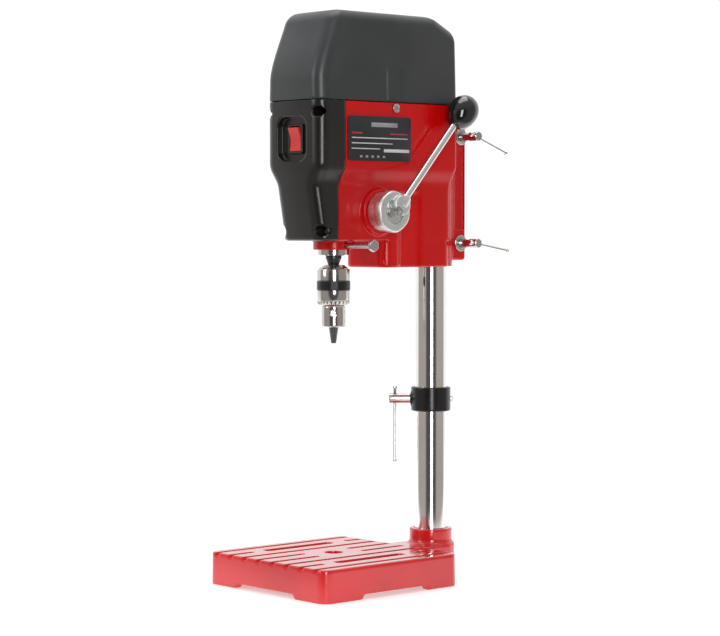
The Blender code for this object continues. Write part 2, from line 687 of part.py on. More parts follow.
def cover_form(name, inset):
    """The cover's solid form: side outline, front outline and rounded plan in common."""
    form = extruded(name, [cover_side(inset)], -HEAD_HALF_W, HEAD_HALF_W, "X")
    section = head_section(inset, NOSE_BOTTOM - 0.01, HEAD_TOP + 0.01)
    common(form, extruded(name + "_width", [section], HEAD_FRONT_Y - 0.01, CASTING_FRONT_Y + 0.01, "Y"))
    plan = cover_plan(HEAD_HALF_W - inset, inset)
    common(form, extruded(name + "_plan", [plan], NOSE_BOTTOM - 0.01, HEAD_TOP + 0.01))
    return form


def make_front_cover():
    cover = keep(cover_form("front_cover", 0.0), BLACK)
    hollow = cover_form("cover_hollow", COVER_WALL)
    pan_back = HEAD_FRONT_Y + RECESS_DEPTH + COVER_WALL
    pan = RECESS_HALF + COVER_WALL
    cut(hollow, block("recess_pan", (-pan, HEAD_FRONT_Y - 0.001, SWITCH_Z - pan),
                      (pan, pan_back, SWITCH_Z + pan)))
    for x, z in COVER_SCREWS:
        cut(hollow, rod("screw_boss", COVER_SCREW_WELL_R + 0.0018, HEAD_FRONT_Y - 0.001,
                        CASTING_FRONT_Y + 0.01, (x, 0, z), REARWARD, SMALL_SEGMENTS))
    cut(cover, hollow)
    recess = rounded((-RECESS_HALF, SWITCH_Z - RECESS_HALF), (RECESS_HALF, SWITCH_Z + RECESS_HALF),
                     RECESS_R)
    cut(cover, extruded("switch_recess", [recess], HEAD_FRONT_Y - 0.001, HEAD_FRONT_Y + RECESS_DEPTH,
                        "Y"))
    cut(cover, block("switch_hole",
                     (-SWITCH_HALF_W - GAP, HEAD_FRONT_Y, SWITCH_Z - SWITCH_HALF_H - GAP),
                     (SWITCH_HALF_W + GAP, pan_back + 0.001, SWITCH_Z + SWITCH_HALF_H + GAP)))
    for i, (x, z) in enumerate(COVER_SCREWS):
        at = (x, 0, z)
        cut(cover, rod("screw_well", COVER_SCREW_WELL_R, HEAD_FRONT_Y - 0.001, COVER_SCREW_SEAT_Y, at,
                       REARWARD, SMALL_SEGMENTS))
        cut(cover, rod("screw_way", SCREW_R + THREAD_R, COVER_SCREW_SEAT_Y - 0.001,
                       CASTING_FRONT_Y + 0.001, at, REARWARD, SMALL_SEGMENTS))
        pan_screw("front_cover_screw_%d" % (i + 1), COVER_SCREW_HEAD_R, COVER_SCREW_SEAT_Y - GAP,
                  CASTING_FRONT_Y + CAST_WALL, at, -REARWARD, DARK_STEEL)


def pan_screw(name, head_r, seat, tip, at, towards, look):
    """A pan-head screw: seat and tip lie along the axis that the head faces away from."""
    sign = -1 if Vector(towards).dot(Vector((1, 1, 1))) < 0 else 1
    seat_h = seat * sign
    tip_h = tip * sign
    head_t = 0.0022
    profile = [(0, seat_h + head_t), (head_r * 0.6, seat_h + head_t), (head_r, seat_h + head_t * 0.5),
               (head_r, seat_h), (SCREW_R, seat_h), (SCREW_R, tip_h), (0, tip_h)]
    screw = keep(turned(name, profile, at, towards, steps=SMALL_SEGMENTS), look)
    slot_at = Vector(at) + Vector(towards) * (seat_h + head_t)
    across = Vector((1, 0, 0)) if abs(Vector(towards).x) < 0.5 else Vector((0, 1, 0))
    half = Vector(towards) * 0.0008
    reach = across * (head_r * 0.7)
    side = Vector(towards).cross(across) * 0.0005
    corner = reach + side + half
    spread = Vector([abs(c) for c in corner])
    cut(screw, block(name + "_slot", slot_at - spread, slot_at + spread))
    return screw


def make_switch():
    floor = HEAD_FRONT_Y + RECESS_DEPTH - GAP
    body = keep(block("switch_body", (-BEZEL_HALF_W, floor - BEZEL_T, SWITCH_Z - BEZEL_HALF_H),
                      (BEZEL_HALF_W, floor, SWITCH_Z + BEZEL_HALF_H), 0.0006), BLACK)
    add(body, block("switch_box", (-SWITCH_HALF_W, floor - BEZEL_T / 2, SWITCH_Z - SWITCH_HALF_H),
                    (SWITCH_HALF_W, floor + SWITCH_DEPTH, SWITCH_Z + SWITCH_HALF_H)))
    mouth_w = ROCKER_HALF_W + GAP
    mouth_h = ROCKER_R + GAP
    cut(body, block("switch_mouth", (-mouth_w, floor - BEZEL_T - 0.001, SWITCH_Z - mouth_h),
                    (mouth_w, floor + SWITCH_DEPTH - 0.002, SWITCH_Z + mouth_h)))
    axis = (0, floor + 0.001, SWITCH_Z)
    tilt = math.radians(ROCKER_TILT_DEG)
    ends = [(-0.0045, 0.0107), (-0.0025, 0), (-0.0045, -0.0107), (0, -ROCKER_R), (0.005, -0.0104),
            (0.005, 0.0104), (0, ROCKER_R)]
    turned_ends = [(axis[1] + y * math.cos(tilt) - z * math.sin(tilt),
                    SWITCH_Z + y * math.sin(tilt) + z * math.cos(tilt)) for y, z in ends]
    rocker = extruded("switch_rocker", [turned_ends], -ROCKER_HALF_W, ROCKER_HALF_W, "X")
    pivot("switch_pivot", axis, keep(rocker, SWITCH_RED))


def hood_side(inset=0.0):
    low = HEAD_TOP + GAP - (0.001 if inset else 0)
    front = HEAD_FRONT_Y + inset
    rear = HEAD_REAR_Y - inset
    top = HOOD_TOP - inset
    return [(rear, low), (rear, HOOD_REAR_SHOULDER_Z - inset), (HOOD_TOP_REAR_Y, top),
            (HOOD_TOP_FRONT_Y + inset, top), (front + 0.0085, HOOD_SHOULDER_Z + 0.020),
            (front + 0.001, HOOD_SHOULDER_Z), (front, HOOD_SHOULDER_Z - 0.015), (front, low)]


def hood_section(inset=0.0):
    low = HEAD_TOP - 0.01
    half = HEAD_HALF_W - inset
    top_half = HOOD_TOP_HALF_W - inset
    top = HOOD_TOP - inset
    radius = HOOD_EDGE_R - inset
    right = arc((top_half - radius, top - radius), radius, 0, 90)
    left = arc((-top_half + radius, top - radius), radius, 90, 180)
    return [(-half, low), (half, low)] + right + left


def hood_plan(inset=0.0):
    radius = COVER_CORNER_R - inset
    half = HEAD_HALF_W - inset
    front = HEAD_FRONT_Y + inset
    left = arc((-half + radius, front + radius), radius, 180, 270)
    right = arc((half - radius, front + radius), radius, 270, 360)
    return left + right + [(half, 0.01), (-half, 0.01)]


def hood_form(name, inset):
    form = extruded(name, [hood_side(inset)], -HEAD_HALF_W, HEAD_HALF_W, "X")
    common(form, extruded(name + "_width", [hood_section(inset)], HEAD_FRONT_Y - 0.01, 0.01, "Y"))
    common(form, extruded(name + "_plan", [hood_plan(inset)], HEAD_TOP - 0.02, HOOD_TOP + 0.01))
    return form


def make_hood():
    hood = keep(hood_form("belt_hood", 0.0), HOOD_GREY)
    hollow = hood_form("hood_hollow", HOOD_WALL)
    cut(hollow, rod("channel_wall", CHANNEL_R + HOOD_WALL, HEAD_TOP - 0.01, HOOD_TOP + 0.01))
    cut(hood, hollow)
    for side in (-1, 1):
        outer = HEAD_HALF_W - HOOD_WALL / 2
        inner = HEAD_HALF_W - CAST_WALL - GAP
        back = inner - HOOD_TAB
        tab = [(outer, HEAD_TOP + 0.002), (outer, HEAD_TOP + 0.008), (back, HEAD_TOP + 0.008),
               (back, HOOD_SCREW_Z - 0.005), (inner, HOOD_SCREW_Z - 0.005), (inner, HEAD_TOP + 0.002)]
        outline = [(side * x, z) for x, z in tab]
        add(hood, extruded("hood_tab", [outline], HOOD_SCREW_Y - 0.006, HOOD_SCREW_Y + 0.006, "Y"))
    cut(hood, rod("channel", CHANNEL_R, HEAD_TOP - 0.01, HOOD_TOP + 0.01))
    reach = HEAD_HALF_W
    cut(hood, rod("tab_holes", SCREW_R + THREAD_R, -reach, reach, (0, HOOD_SCREW_Y, HOOD_SCREW_Z),
                  RIGHT, SMALL_SEGMENTS))
    tip = HEAD_HALF_W - CAST_WALL - HOOD_TAB
    for name, way, sign in (("right", RIGHT, 1), ("left", -RIGHT, -1)):
        pan_screw("hood_screw_" + name, 0.0042, sign * (HEAD_HALF_W + GAP), sign * tip,
                  (0, HOOD_SCREW_Y, HOOD_SCREW_Z), way, STEEL)


def make_nameplate():
    outline = rounded((NAMEPLATE_Y[0], NAMEPLATE_Z[0]), (NAMEPLATE_Y[1], NAMEPLATE_Z[1]), 0.003, 3)
    inner = HEAD_HALF_W + GAP
    keep(extruded("nameplate", [outline], inner, inner + NAMEPLATE_T, "X"), LABEL)


def make_clamp(level):
    z = CLAMP_Z[level]
    at = (0, CLAMP_Y, z)
    drop = math.radians(CLAMP_BAR_DROP_DEG[level])
    bar_way = Vector((0, math.cos(drop), -math.sin(drop)))
    washer_in = LUG_HALF_W + GAP
    nut_in = LUG_HALF_W + GAP
    bar_point = bar_screw(level + "_clamp_screw", at, RIGHT, CLAMP_SCREW_R, -nut_in - NUT_T - 0.002,
                          CLAMP_HUB_R, CLAMP_HUB, CLAMP_BAR_X, bar_way)
    keep(ring_of(level + "_clamp_washer", WASHER_R, CLAMP_SCREW_R + GAP, washer_in,
                 washer_in + WASHER_T, at, RIGHT, SMALL_SEGMENTS), STEEL)
    nut = extruded(level + "_clamp_nut", [hexagon((CLAMP_Y, z), NUT_R)], -nut_in - NUT_T, -nut_in, "X")
    keep(nut, STEEL)
    cut(nut, rod(level + "_nut_bore", CLAMP_SCREW_R + GAP, -0.03, 0, at, RIGHT, SMALL_SEGMENTS))
    tommy_bar(level + "_clamp_bar", CLAMP_BAR[0], CLAMP_BAR[1], bar_point, bar_way)


def tooth_outline(centre, phase):
    """A spur gear's outline in the YZ plane, with straight-sided teeth and running clearance."""
    points = []
    root = PINION_R - 1.2 * GEAR_MODULE
    tip = PINION_R + 0.8 * GEAR_MODULE
    pitch = 2 * math.pi / TEETH
    shape = ((-0.27, root), (-0.11, tip), (0.11, tip), (0.27, root))
    for i in range(TEETH):
        for place, radius in shape:
            angle = phase + (i + place) * pitch
            points.append((centre[0] + radius * math.cos(angle), centre[1] + radius * math.sin(angle)))
    return points


def make_quill():
    bearing_pocket = BEARING_R + GAP
    pocket = BEARING_W + 0.0015
    profile = [(QUILL_R - 0.0008, QUILL_HIGH), (QUILL_R, QUILL_HIGH - 0.0008),
               (QUILL_R, QUILL_LOW + 0.0008), (QUILL_R - 0.0008, QUILL_LOW),
               (bearing_pocket, QUILL_LOW), (bearing_pocket, QUILL_LOW + pocket),
               (QUILL_BORE_R, QUILL_LOW + pocket), (QUILL_BORE_R, QUILL_HIGH - pocket),
               (bearing_pocket, QUILL_HIGH - pocket), (bearing_pocket, QUILL_HIGH)]
    quill = keep(turned("quill", profile, spindle_at(), ring=True), STEEL)
    pitch = math.pi * GEAR_MODULE
    line = FEED_Y - PINION_R
    tip = line + 0.8 * GEAR_MODULE
    root = line - 1.2 * GEAR_MODULE
    inside = SPINDLE_Y + BEARING_R + 0.001
    count = int((QUILL_HIGH - 0.004 - RACK_LOW) / pitch)
    centre_tooth = round((FEED_Z - RACK_LOW) / pitch - 0.5)
    first = FEED_Z - (centre_tooth + 0.5) * pitch
    outline = [(inside, first - pitch / 2)]
    for i in range(count):
        z = first + i * pitch
        outline += [(root, z - 0.27 * pitch), (tip, z - 0.11 * pitch), (tip, z + 0.11 * pitch),
                    (root, z + 0.27 * pitch)]
    outline.append((inside, first + (count - 0.5) * pitch))
    flat = GEAR_HALF_W + 0.001
    cut(quill, block("rack_flat", (-flat, root, RACK_LOW - 0.001), (flat, tip, QUILL_HIGH + 0.001)))
    add(quill, extruded("rack", [outline], -RACK_HALF_W, RACK_HALF_W, "X"))
    for name, low in (("lower", QUILL_LOW + 0.001), ("upper", QUILL_HIGH - 0.001 - BEARING_W)):
        keep(ring_of("spindle_bearing_" + name, BEARING_R, BEARING_BORE_R, low, low + BEARING_W,
                     spindle_at()), STEEL)
    lock = extruded("quill_lock_bolt", [hexagon((SPINDLE_Y, LOCK_Z), HEX_R)], *LOCK_HEAD, "X")
    keep(lock, STEEL)
    add(lock, rod("lock_shaft", LOCK_R, QUILL_R + 0.0006, LOCK_HEAD[0] + 0.001, spindle_at(LOCK_Z),
                  RIGHT, SMALL_SEGMENTS))
    pivot("quill_lock_pivot", spindle_at(LOCK_Z), lock)


def make_spindle():
    seat = QUILL_LOW + 0.001 - GAP
    profile = [(0, SPINDLE_TOP), (SPINDLE_R - 0.0005, SPINDLE_TOP), (SPINDLE_R, SPINDLE_TOP - 0.0005),
               (SPINDLE_R, seat), (NOSE_R, seat), (NOSE_R, seat - 0.0035), (SPINDLE_R + 0.0003,
               CHUCK_TOP + GAP), (SPINDLE_R - 0.0002, CHUCK_TOP + GAP), (0.0042, TAPER_END),
               (0, TAPER_END)]
    keep(turned("spindle", profile, spindle_at()), DARK_STEEL)


def make_chuck():
    step = SLEEVE_LOW - GAP
    mouth = JAW_R + GAP
    bore_top = mouth + (CHUCK_BORE_TOP - CHUCK_BODY_LOW) * JAW_SLOPE
    jaw_top_r = JAW_R + (JAW_TOP - CHUCK_BODY_LOW) * JAW_SLOPE
    body_profile = [(0, TAPER_END - GAP), (0.0042 + GAP, TAPER_END - GAP),
                    (SPINDLE_R + 0.0002, CHUCK_TOP), (0.012, CHUCK_TOP),
                    (SLEEVE_R - 0.0004, SLEEVE_HIGH + 0.001), (SLEEVE_R - 0.0004, SLEEVE_HIGH + GAP),
                    (CHUCK_CORE_R, SLEEVE_HIGH + GAP), (CHUCK_CORE_R, step), (CHUCK_BODY_R, step),
                    (CHUCK_BODY_R, CHUCK_BODY_LOW + 0.0015), (CHUCK_BODY_R - 0.0015, CHUCK_BODY_LOW),
                    (mouth, CHUCK_BODY_LOW), (bore_top, CHUCK_BORE_TOP),
                    (0, CHUCK_BORE_TOP)]
    body = keep(turned("chuck_body", body_profile, spindle_at()), STEEL)
    for i in range(3):
        angle = math.radians(-42 + 120 * i)
        way = Vector((math.cos(angle), math.sin(angle), 0))
        cut(body, rod("key_hole", KEY_HOLE_R, CHUCK_BODY_R - 0.0026, CHUCK_BODY_R + 0.001,
                      spindle_at(KEY_HOLE_Z), way, SMALL_SEGMENTS))
    inner = CHUCK_CORE_R + GAP
    groove = SLEEVE_R - BAND_T
    sleeve = [(SLEEVE_R - 0.0015, SLEEVE_HIGH), (SLEEVE_R, SLEEVE_HIGH - 0.0015),
              (SLEEVE_R, BAND_HIGH + GAP), (groove, BAND_HIGH + GAP), (groove, BAND_LOW - GAP),
              (SLEEVE_R, BAND_LOW - GAP), (SLEEVE_R, SLEEVE_LOW + 0.002), (SLEEVE_R - 0.002, SLEEVE_LOW),
              (inner, SLEEVE_LOW), (inner, SLEEVE_HIGH)]
    keep(turned("chuck_sleeve", sleeve, spindle_at(), ring=True), CHROME)
    keep(ring_of("chuck_band", SLEEVE_R + GAP, groove + GAP / 2, BAND_LOW, BAND_HIGH, spindle_at()),
         BLACK)
    for i in range(3):
        name = "chuck_jaw_%d" % (i + 1)
        profile = [(0, JAW_TOP), (jaw_top_r, JAW_TOP), (JAW_R, CHUCK_BODY_LOW), (JAW_TIP_R, JAW_TIP),
                   (0, JAW_TIP)]
        jaw = keep(turned(name, profile, spindle_at(), steps=24), STEEL)
        way = math.radians(30 + 120 * i)
        apex = (0.0002 * math.cos(way), SPINDLE_Y + 0.0002 * math.sin(way))
        wedge = [apex]
        for turn in (-59.5, 0, 59.5):
            reach = 0.012 if turn else 0.02
            angle = way + math.radians(turn)
            wedge.append((apex[0] + reach * math.cos(angle), apex[1] + reach * math.sin(angle)))
        common(jaw, extruded(name + "_wedge", [wedge], JAW_TIP - 0.001, JAW_TOP + 0.001))


def make_feed():
    axis = (0, FEED_Y, FEED_Z)
    gear = tooth_outline((FEED_Y, FEED_Z), math.pi)
    pinion = extruded("feed_pinion", [gear], -GEAR_HALF_W, GEAR_HALF_W, "X")
    keep(pinion, STEEL)
    left_end = -FEED_BOSS_X - SPRING_CAP_DEPTH + 0.004
    add(pinion, rod("feed_shaft", FEED_SHAFT_R, left_end, HUB_FRONT_X - HUB_RECESS - 0.003, axis, RIGHT))
    pivot("feed_axis", axis, pinion)
    seat = FEED_BOSS_X + GAP
    profile = [(HUB_RECESS_R, HUB_FRONT_X), (HUB_FLANGE_R - 0.001, HUB_FRONT_X),
               (HUB_FLANGE_R, HUB_FRONT_X - 0.001), (HUB_FLANGE_R, HUB_FLANGE_X), (HUB_R, HUB_FLANGE_X),
               (HUB_R, seat + 0.0005), (HUB_R - 0.0005, seat), (FEED_SHAFT_R + GAP, seat),
               (FEED_SHAFT_R + GAP, HUB_FRONT_X - HUB_RECESS), (HUB_RECESS_R, HUB_FRONT_X - HUB_RECESS)]
    hub = keep(turned("feed_hub", profile, axis, RIGHT, ring=True), CAST_ALUMINIUM)
    lever_at = Vector((LEVER_X, FEED_Y, FEED_Z))
    add(hub, chamfered("lever_socket", SOCKET_LOBE_R, *SOCKET_LOBE, 0.001, lever_at, LEVER_WAY, 24))
    cut(hub, rod("lever_hole", LEVER_R + GAP, LEVER_START - GAP, SOCKET_LOBE[1] + 0.001, lever_at,
                 LEVER_WAY, SMALL_SEGMENTS))
    screw_seat = HUB_FRONT_X - HUB_RECESS + GAP
    pan_screw("feed_hub_screw", 0.0078, screw_seat, screw_seat - 0.0026, axis, RIGHT, STEEL)
    lever_end = KNOB_REACH - KNOB_HALF_L + KNOB_HOLE - GAP
    lever = chamfered("feed_lever", LEVER_R, LEVER_START, lever_end, 0.0005, lever_at, LEVER_WAY, 24)
    keep(lever, CHROME)
    knob = [(0, KNOB_REACH + KNOB_HALF_L)]
    for i in range(1, 10):
        angle = QUARTER - math.radians(KNOB_SWEEP_DEG) * i / 9
        swell = 1 + 0.10 * math.sin(angle)
        knob.append((KNOB_R * math.cos(angle) * swell ** 0.5, KNOB_REACH + KNOB_HALF_L * math.sin(angle)))
    bottom = knob[-1][1]
    hole_r = LEVER_R + GAP
    knob += [(hole_r, bottom), (hole_r, bottom + KNOB_HOLE), (0, bottom + KNOB_HOLE)]
    keep(turned("feed_knob", knob, lever_at, LEVER_WAY, steps=20), BLACK)


def make_return_spring():
    """A spiral spring in a cup on the left of the head."""
    axis = Vector((0, FEED_Y, FEED_Z))
    seat = FEED_BOSS_X + GAP
    wall = 0.0015
    end = seat + SPRING_CAP_DEPTH
    cup = [(0, end), (SPRING_CAP_R - 0.001, end), (SPRING_CAP_R, end - 0.001), (SPRING_CAP_R, seat),
           (SPRING_CAP_R - wall, seat), (SPRING_CAP_R - wall, end - wall), (0, end - wall)]
    keep(turned("spring_cap", cup, axis, -RIGHT), BLACK)
    curve = bpy.data.curves.new("return_spring", "CURVE")
    curve.dimensions = "3D"
    curve.bevel_depth = 0.0007
    curve.bevel_resolution = 1
    curve.use_fill_caps = True
    turns = 2.5
    count = 50
    inner = FEED_SHAFT_R + 0.0007 + GAP
    outer = SPRING_CAP_R - wall - 0.0007 - GAP
    spline = curve.splines.new("POLY")
    spline.points.add(count - 1)
    for i, point in enumerate(spline.points):
        part = i / (count - 1)
        angle = 2 * math.pi * turns * part
        radius = inner + (outer - inner) * part
        point.co = (0, radius * math.cos(angle), radius * math.sin(angle), 1)
    spring = bpy.data.objects.new("return_spring", curve)
    spring.location = axis - RIGHT * (seat + SPRING_CAP_DEPTH / 3)
    PARTS.objects.link(spring)
    curve.materials.append(finish_of("return_spring", *DARK_STEEL[1:]))


def make_drive():
    outline = [(-PLATE_HALF_W, PLATE_FRONT_Y), (PLATE_HALF_W, PLATE_FRONT_Y),
               (PLATE_HALF_W, PLATE_REAR_Y), (-PLATE_HALF_W, PLATE_REAR_Y)]
    holes = [arc((0, SPINDLE_Y), PULLEY_BEARING_R + GAP, 0, 348, 29),
             arc((0, MOTOR_Y), MOTOR_REGISTER_R + GAP, 0, 345, 23)]
    for side in (-1, 1):
        holes.append(arc((side * PLATE_SCREW[0], PLATE_SCREW[1]), SCREW_R + THREAD_R, 0, 330, 11))
        holes.append(arc((side * MOTOR_SCREW_X, MOTOR_Y), SCREW_R + THREAD_R, 0, 330, 11))
    keep(extruded("drive_plate", [outline] + holes, PLATE_LOW, PLATE_LOW + PLATE_T), STEEL)
    top = PLATE_LOW + PLATE_T + GAP
    for i, side in enumerate((1, -1)):
        pan_screw("drive_plate_screw_%d" % (i + 1), 0.0038, top, top - 0.013,
                  (side * PLATE_SCREW[0], PLATE_SCREW[1], 0), UP, STEEL)
        pan_screw("motor_screw_%d" % (i + 1), 0.0038, top, PLATE_LOW - 0.0025,
                  (side * MOTOR_SCREW_X, MOTOR_Y, 0), UP, STEEL)
    bearing_low = PLATE_LOW - 0.0008
    bearing_high = PLATE_LOW + PLATE_T + 0.0008
    keep(ring_of("pulley_bearing", PULLEY_BEARING_R, PULLEY_HUB_R + GAP, bearing_low, bearing_high,
                 spindle_at()), STEEL)
    make_motor()
    make_pulleys(bearing_low, bearing_high + GAP)


def make_motor():
    top = PLATE_LOW - GAP
    bore = MOTOR_SHAFT_R + GAP
    inside = MOTOR_R - MOTOR_WALL
    register_top = PLATE_LOW + PLATE_T
    profile = [(bore, register_top), (MOTOR_REGISTER_R, register_top), (MOTOR_REGISTER_R, top),
               (MOTOR_R - 0.002, top), (MOTOR_R, top - 0.002), (MOTOR_R, MOTOR_LOW + 0.004),
               (MOTOR_R - 0.004, MOTOR_LOW), (0, MOTOR_LOW), (0, MOTOR_LOW + MOTOR_WALL),
               (inside, MOTOR_LOW + MOTOR_WALL), (inside, top - MOTOR_WALL), (bore, top - MOTOR_WALL)]
    at = (0, MOTOR_Y, 0)
    motor = turned("motor_body", profile, at, ring=True)
    keep(motor, DARK_STEEL)
    for side in (-1, 1):
        cut(motor, rod("motor_screw_hole", SCREW_R + THREAD_R, top - 0.003, top + 0.001,
                       (side * MOTOR_SCREW_X, MOTOR_Y, 0), UP, SMALL_SEGMENTS))
    foot = MOTOR_LOW + MOTOR_WALL + GAP
    rotor = [(0, PULLEY_HIGH + 0.003), (MOTOR_SHAFT_R, PULLEY_HIGH + 0.003), (MOTOR_SHAFT_R, top - 0.018),
             (ARMATURE_R, top - 0.018), (ARMATURE_R, foot + 0.012), (MOTOR_SHAFT_R, foot + 0.012),
             (MOTOR_SHAFT_R, foot), (0, foot)]
    keep(turned("motor_rotor", rotor, at), STEEL)


def pulley(name, radius, bore, at, hub=()):
    lip = radius + PULLEY_FLANGE
    low = PULLEY_LOW - PULLEY_FLANGE
    high = PULLEY_HIGH + PULLEY_FLANGE
    profile = [(lip, high), (lip, PULLEY_HIGH), (radius, PULLEY_HIGH), (radius, PULLEY_LOW),
               (lip, PULLEY_LOW), (lip, low)]
    profile += list(hub)
    profile += [(bore, hub[-1][1] if hub else low), (bore, high)]
    return keep(turned(name, profile, at, ring=True), CAST_ALUMINIUM)


def make_pulleys(hub_low, shoulder):
    pulley("motor_pulley", MOTOR_PULLEY_R, MOTOR_SHAFT_R + GAP, (0, MOTOR_Y, 0))
    low = PULLEY_LOW - PULLEY_FLANGE
    hub = [(PULLEY_HUB_R + 0.002, low), (PULLEY_HUB_R + 0.002, shoulder), (PULLEY_HUB_R, shoulder),
           (PULLEY_HUB_R, hub_low)]
    pulley("spindle_pulley", SPINDLE_PULLEY_R, SPINDLE_R + GAP, spindle_at(), hub)
    loops = []
    reach = MOTOR_Y - SPINDLE_Y
    lean = math.degrees(math.acos((SPINDLE_PULLEY_R - MOTOR_PULLEY_R) / reach))
    for offset in (GAP + BELT_T, GAP):
        front = arc((0, SPINDLE_Y), SPINDLE_PULLEY_R + offset, 90 + lean, 450 - lean, 20)
        rear = arc((0, MOTOR_Y), MOTOR_PULLEY_R + offset, 90 - lean, 90 + lean, 12)
        loops.append(front + rear)
    keep(extruded("drive_belt", loops, PULLEY_LOW + 0.002, PULLEY_HIGH - 0.002), RUBBER)


def main():
    make_base()
    make_column()
    make_collar()
    make_head_casting()
    make_gland()
    make_front_cover()
    make_switch()
    make_hood()
    make_nameplate()
    for level in ("lower", "upper"):
        make_clamp(level)
    make_quill()
    make_spindle()
    make_chuck()
    make_feed()
    make_return_spring()
    make_drive()


main()
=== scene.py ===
"""Looks of the bench drill press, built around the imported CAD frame."""
import json
import math

import bmesh
import bpy
import numpy as np
from mathutils import Matrix
from mathutils import Vector


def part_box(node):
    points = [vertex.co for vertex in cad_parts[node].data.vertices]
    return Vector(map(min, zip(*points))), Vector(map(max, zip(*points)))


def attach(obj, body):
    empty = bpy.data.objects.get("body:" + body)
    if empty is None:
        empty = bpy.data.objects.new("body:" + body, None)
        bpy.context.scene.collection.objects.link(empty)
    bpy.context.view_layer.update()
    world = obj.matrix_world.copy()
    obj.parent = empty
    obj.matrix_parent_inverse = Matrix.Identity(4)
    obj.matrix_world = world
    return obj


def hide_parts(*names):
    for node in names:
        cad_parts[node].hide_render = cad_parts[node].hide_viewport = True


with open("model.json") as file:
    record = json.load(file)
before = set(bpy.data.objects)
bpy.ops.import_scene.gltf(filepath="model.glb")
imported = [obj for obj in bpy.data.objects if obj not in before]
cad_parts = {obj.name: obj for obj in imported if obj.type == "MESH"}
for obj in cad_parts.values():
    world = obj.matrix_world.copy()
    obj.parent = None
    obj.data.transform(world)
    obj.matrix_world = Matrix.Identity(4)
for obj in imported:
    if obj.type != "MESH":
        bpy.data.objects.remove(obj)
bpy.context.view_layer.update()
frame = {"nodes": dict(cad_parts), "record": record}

MM = 0.001
UP = Vector((0, 0, 1))
RIGHT = Vector((1, 0, 0))
REARWARD = Vector((0, 1, 0))


# ---- places, from the frame

def box_mm(node):
    low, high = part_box(node)
    return np.array(low) / MM, np.array(high) / MM


JOINT = {joint["name"]: joint for joint in frame["record"]["behaviour"]["joints"]}


def joint_point(name):
    return np.array(JOINT[name]["pos_m"]) / MM


BASE_LOW, BASE_HIGH = box_mm("base")
HEAD_LOW, HEAD_HIGH = box_mm("head_casting")
COVER_LOW, COVER_HIGH = box_mm("front_cover")
HOOD_HIGH = box_mm("belt_hood")[1]
COLUMN_LOW, COLUMN_HIGH = box_mm("column")
COLUMN_R = COLUMN_HIGH[0]
COLLAR_LOW, COLLAR_HIGH = box_mm("collar_ring")
COLLAR_Z = (COLLAR_LOW[2] + COLLAR_HIGH[2]) / 2
COLLAR_WAY = Vector(JOINT["collar_screw_turn"]["axis"])
SPINDLE_Y = joint_point("spindle_spin")[1]
FEED_Y, FEED_Z = joint_point("feed_turn")[1:]
CLAMP_Y = joint_point("lower_clamp_turn")[1]
CLAMP_ZS = [joint_point(level + "_clamp_turn")[2] for level in ("lower", "upper")]
SWITCH_Z = joint_point("switch_press")[2]

HEAD_HALF = 40.6
LOWER_HALF = 30.8
TAPER_LOW = 383.0
TAPER_HIGH = 403.0
SEAM_Y = COVER_HIGH[1]
SEAM_Z = 463.0
REAR_Y = HOOD_HIGH[1]
FRONT_Y = COVER_LOW[1]
NOSE_Z = COVER_LOW[2]


# ---- distance fields, millimetres

def soft_max(a, b, r):
    """The larger field, with a round edge of radius r where the two surfaces meet."""
    if r <= 0:
        return np.maximum(a, b)
    corner = np.hypot(np.maximum(a + r, 0), np.maximum(b + r, 0))
    return np.minimum(np.maximum(a, b), -r) + corner


def soft_min(a, b, r):
    """The smaller field, with a fillet of radius r where the two surfaces meet."""
    return -soft_max(-a, -b, r)


def less(a, b, r=0.3):
    """Field a with b taken away."""
    return soft_max(a, -b, r)


def common(*fields):
    """What all the fields share, with sharp edges."""
    return np.maximum.reduce(fields)


def smooth(t):
    t = np.clip(t, 0, 1)
    return t * t * (3 - 2 * t)


def bump(v, low, high, edge):
    """1 between low and high, easing to 0 over edge on each side."""
    return smooth((v - low + edge) / edge) * smooth((high + edge - v) / edge)


def slab(v, low, high):
    return np.maximum(low - v, v - high)


def round_box(p, low, high, r):
    q = [np.abs(p[:, i] - (low[i] + high[i]) / 2) - (high[i] - low[i]) / 2 + r for i in range(3)]
    outside = np.sqrt(sum(np.maximum(v, 0) ** 2 for v in q))
    return outside + np.minimum(np.maximum(np.maximum(q[0], q[1]), q[2]), 0) - r


def round_rect(u, v, low, high, r):
    a = np.abs(u - (low[0] + high[0]) / 2) - (high[0] - low[0]) / 2 + r
    b = np.abs(v - (low[1] + high[1]) / 2) - (high[1] - low[1]) / 2 + r
    return np.hypot(np.maximum(a, 0), np.maximum(b, 0)) + np.minimum(np.maximum(a, b), 0) - r


def slot_field(u, v, u0, v_low, v_high, half):
    nearest = np.clip(v, v_low + half, v_high - half)
    return np.hypot(u - u0, v - nearest) - half


def disc(u, v, u0, v0, r):
    return np.hypot(u - u0, v - v0) - r


def hexagon(u, v, half):
    """A hexagon, with the half width across its flats given."""
    turns = [k * math.pi / 3 for k in range(3)]
    flats = [np.abs(u * math.cos(turn) + v * math.sin(turn)) for turn in turns]
    return common(*flats) - half


def mirrored(p):
    """The points with the left side folded onto the right."""
    return np.stack((np.abs(p[:, 0]), p[:, 1], p[:, 2]), 1)


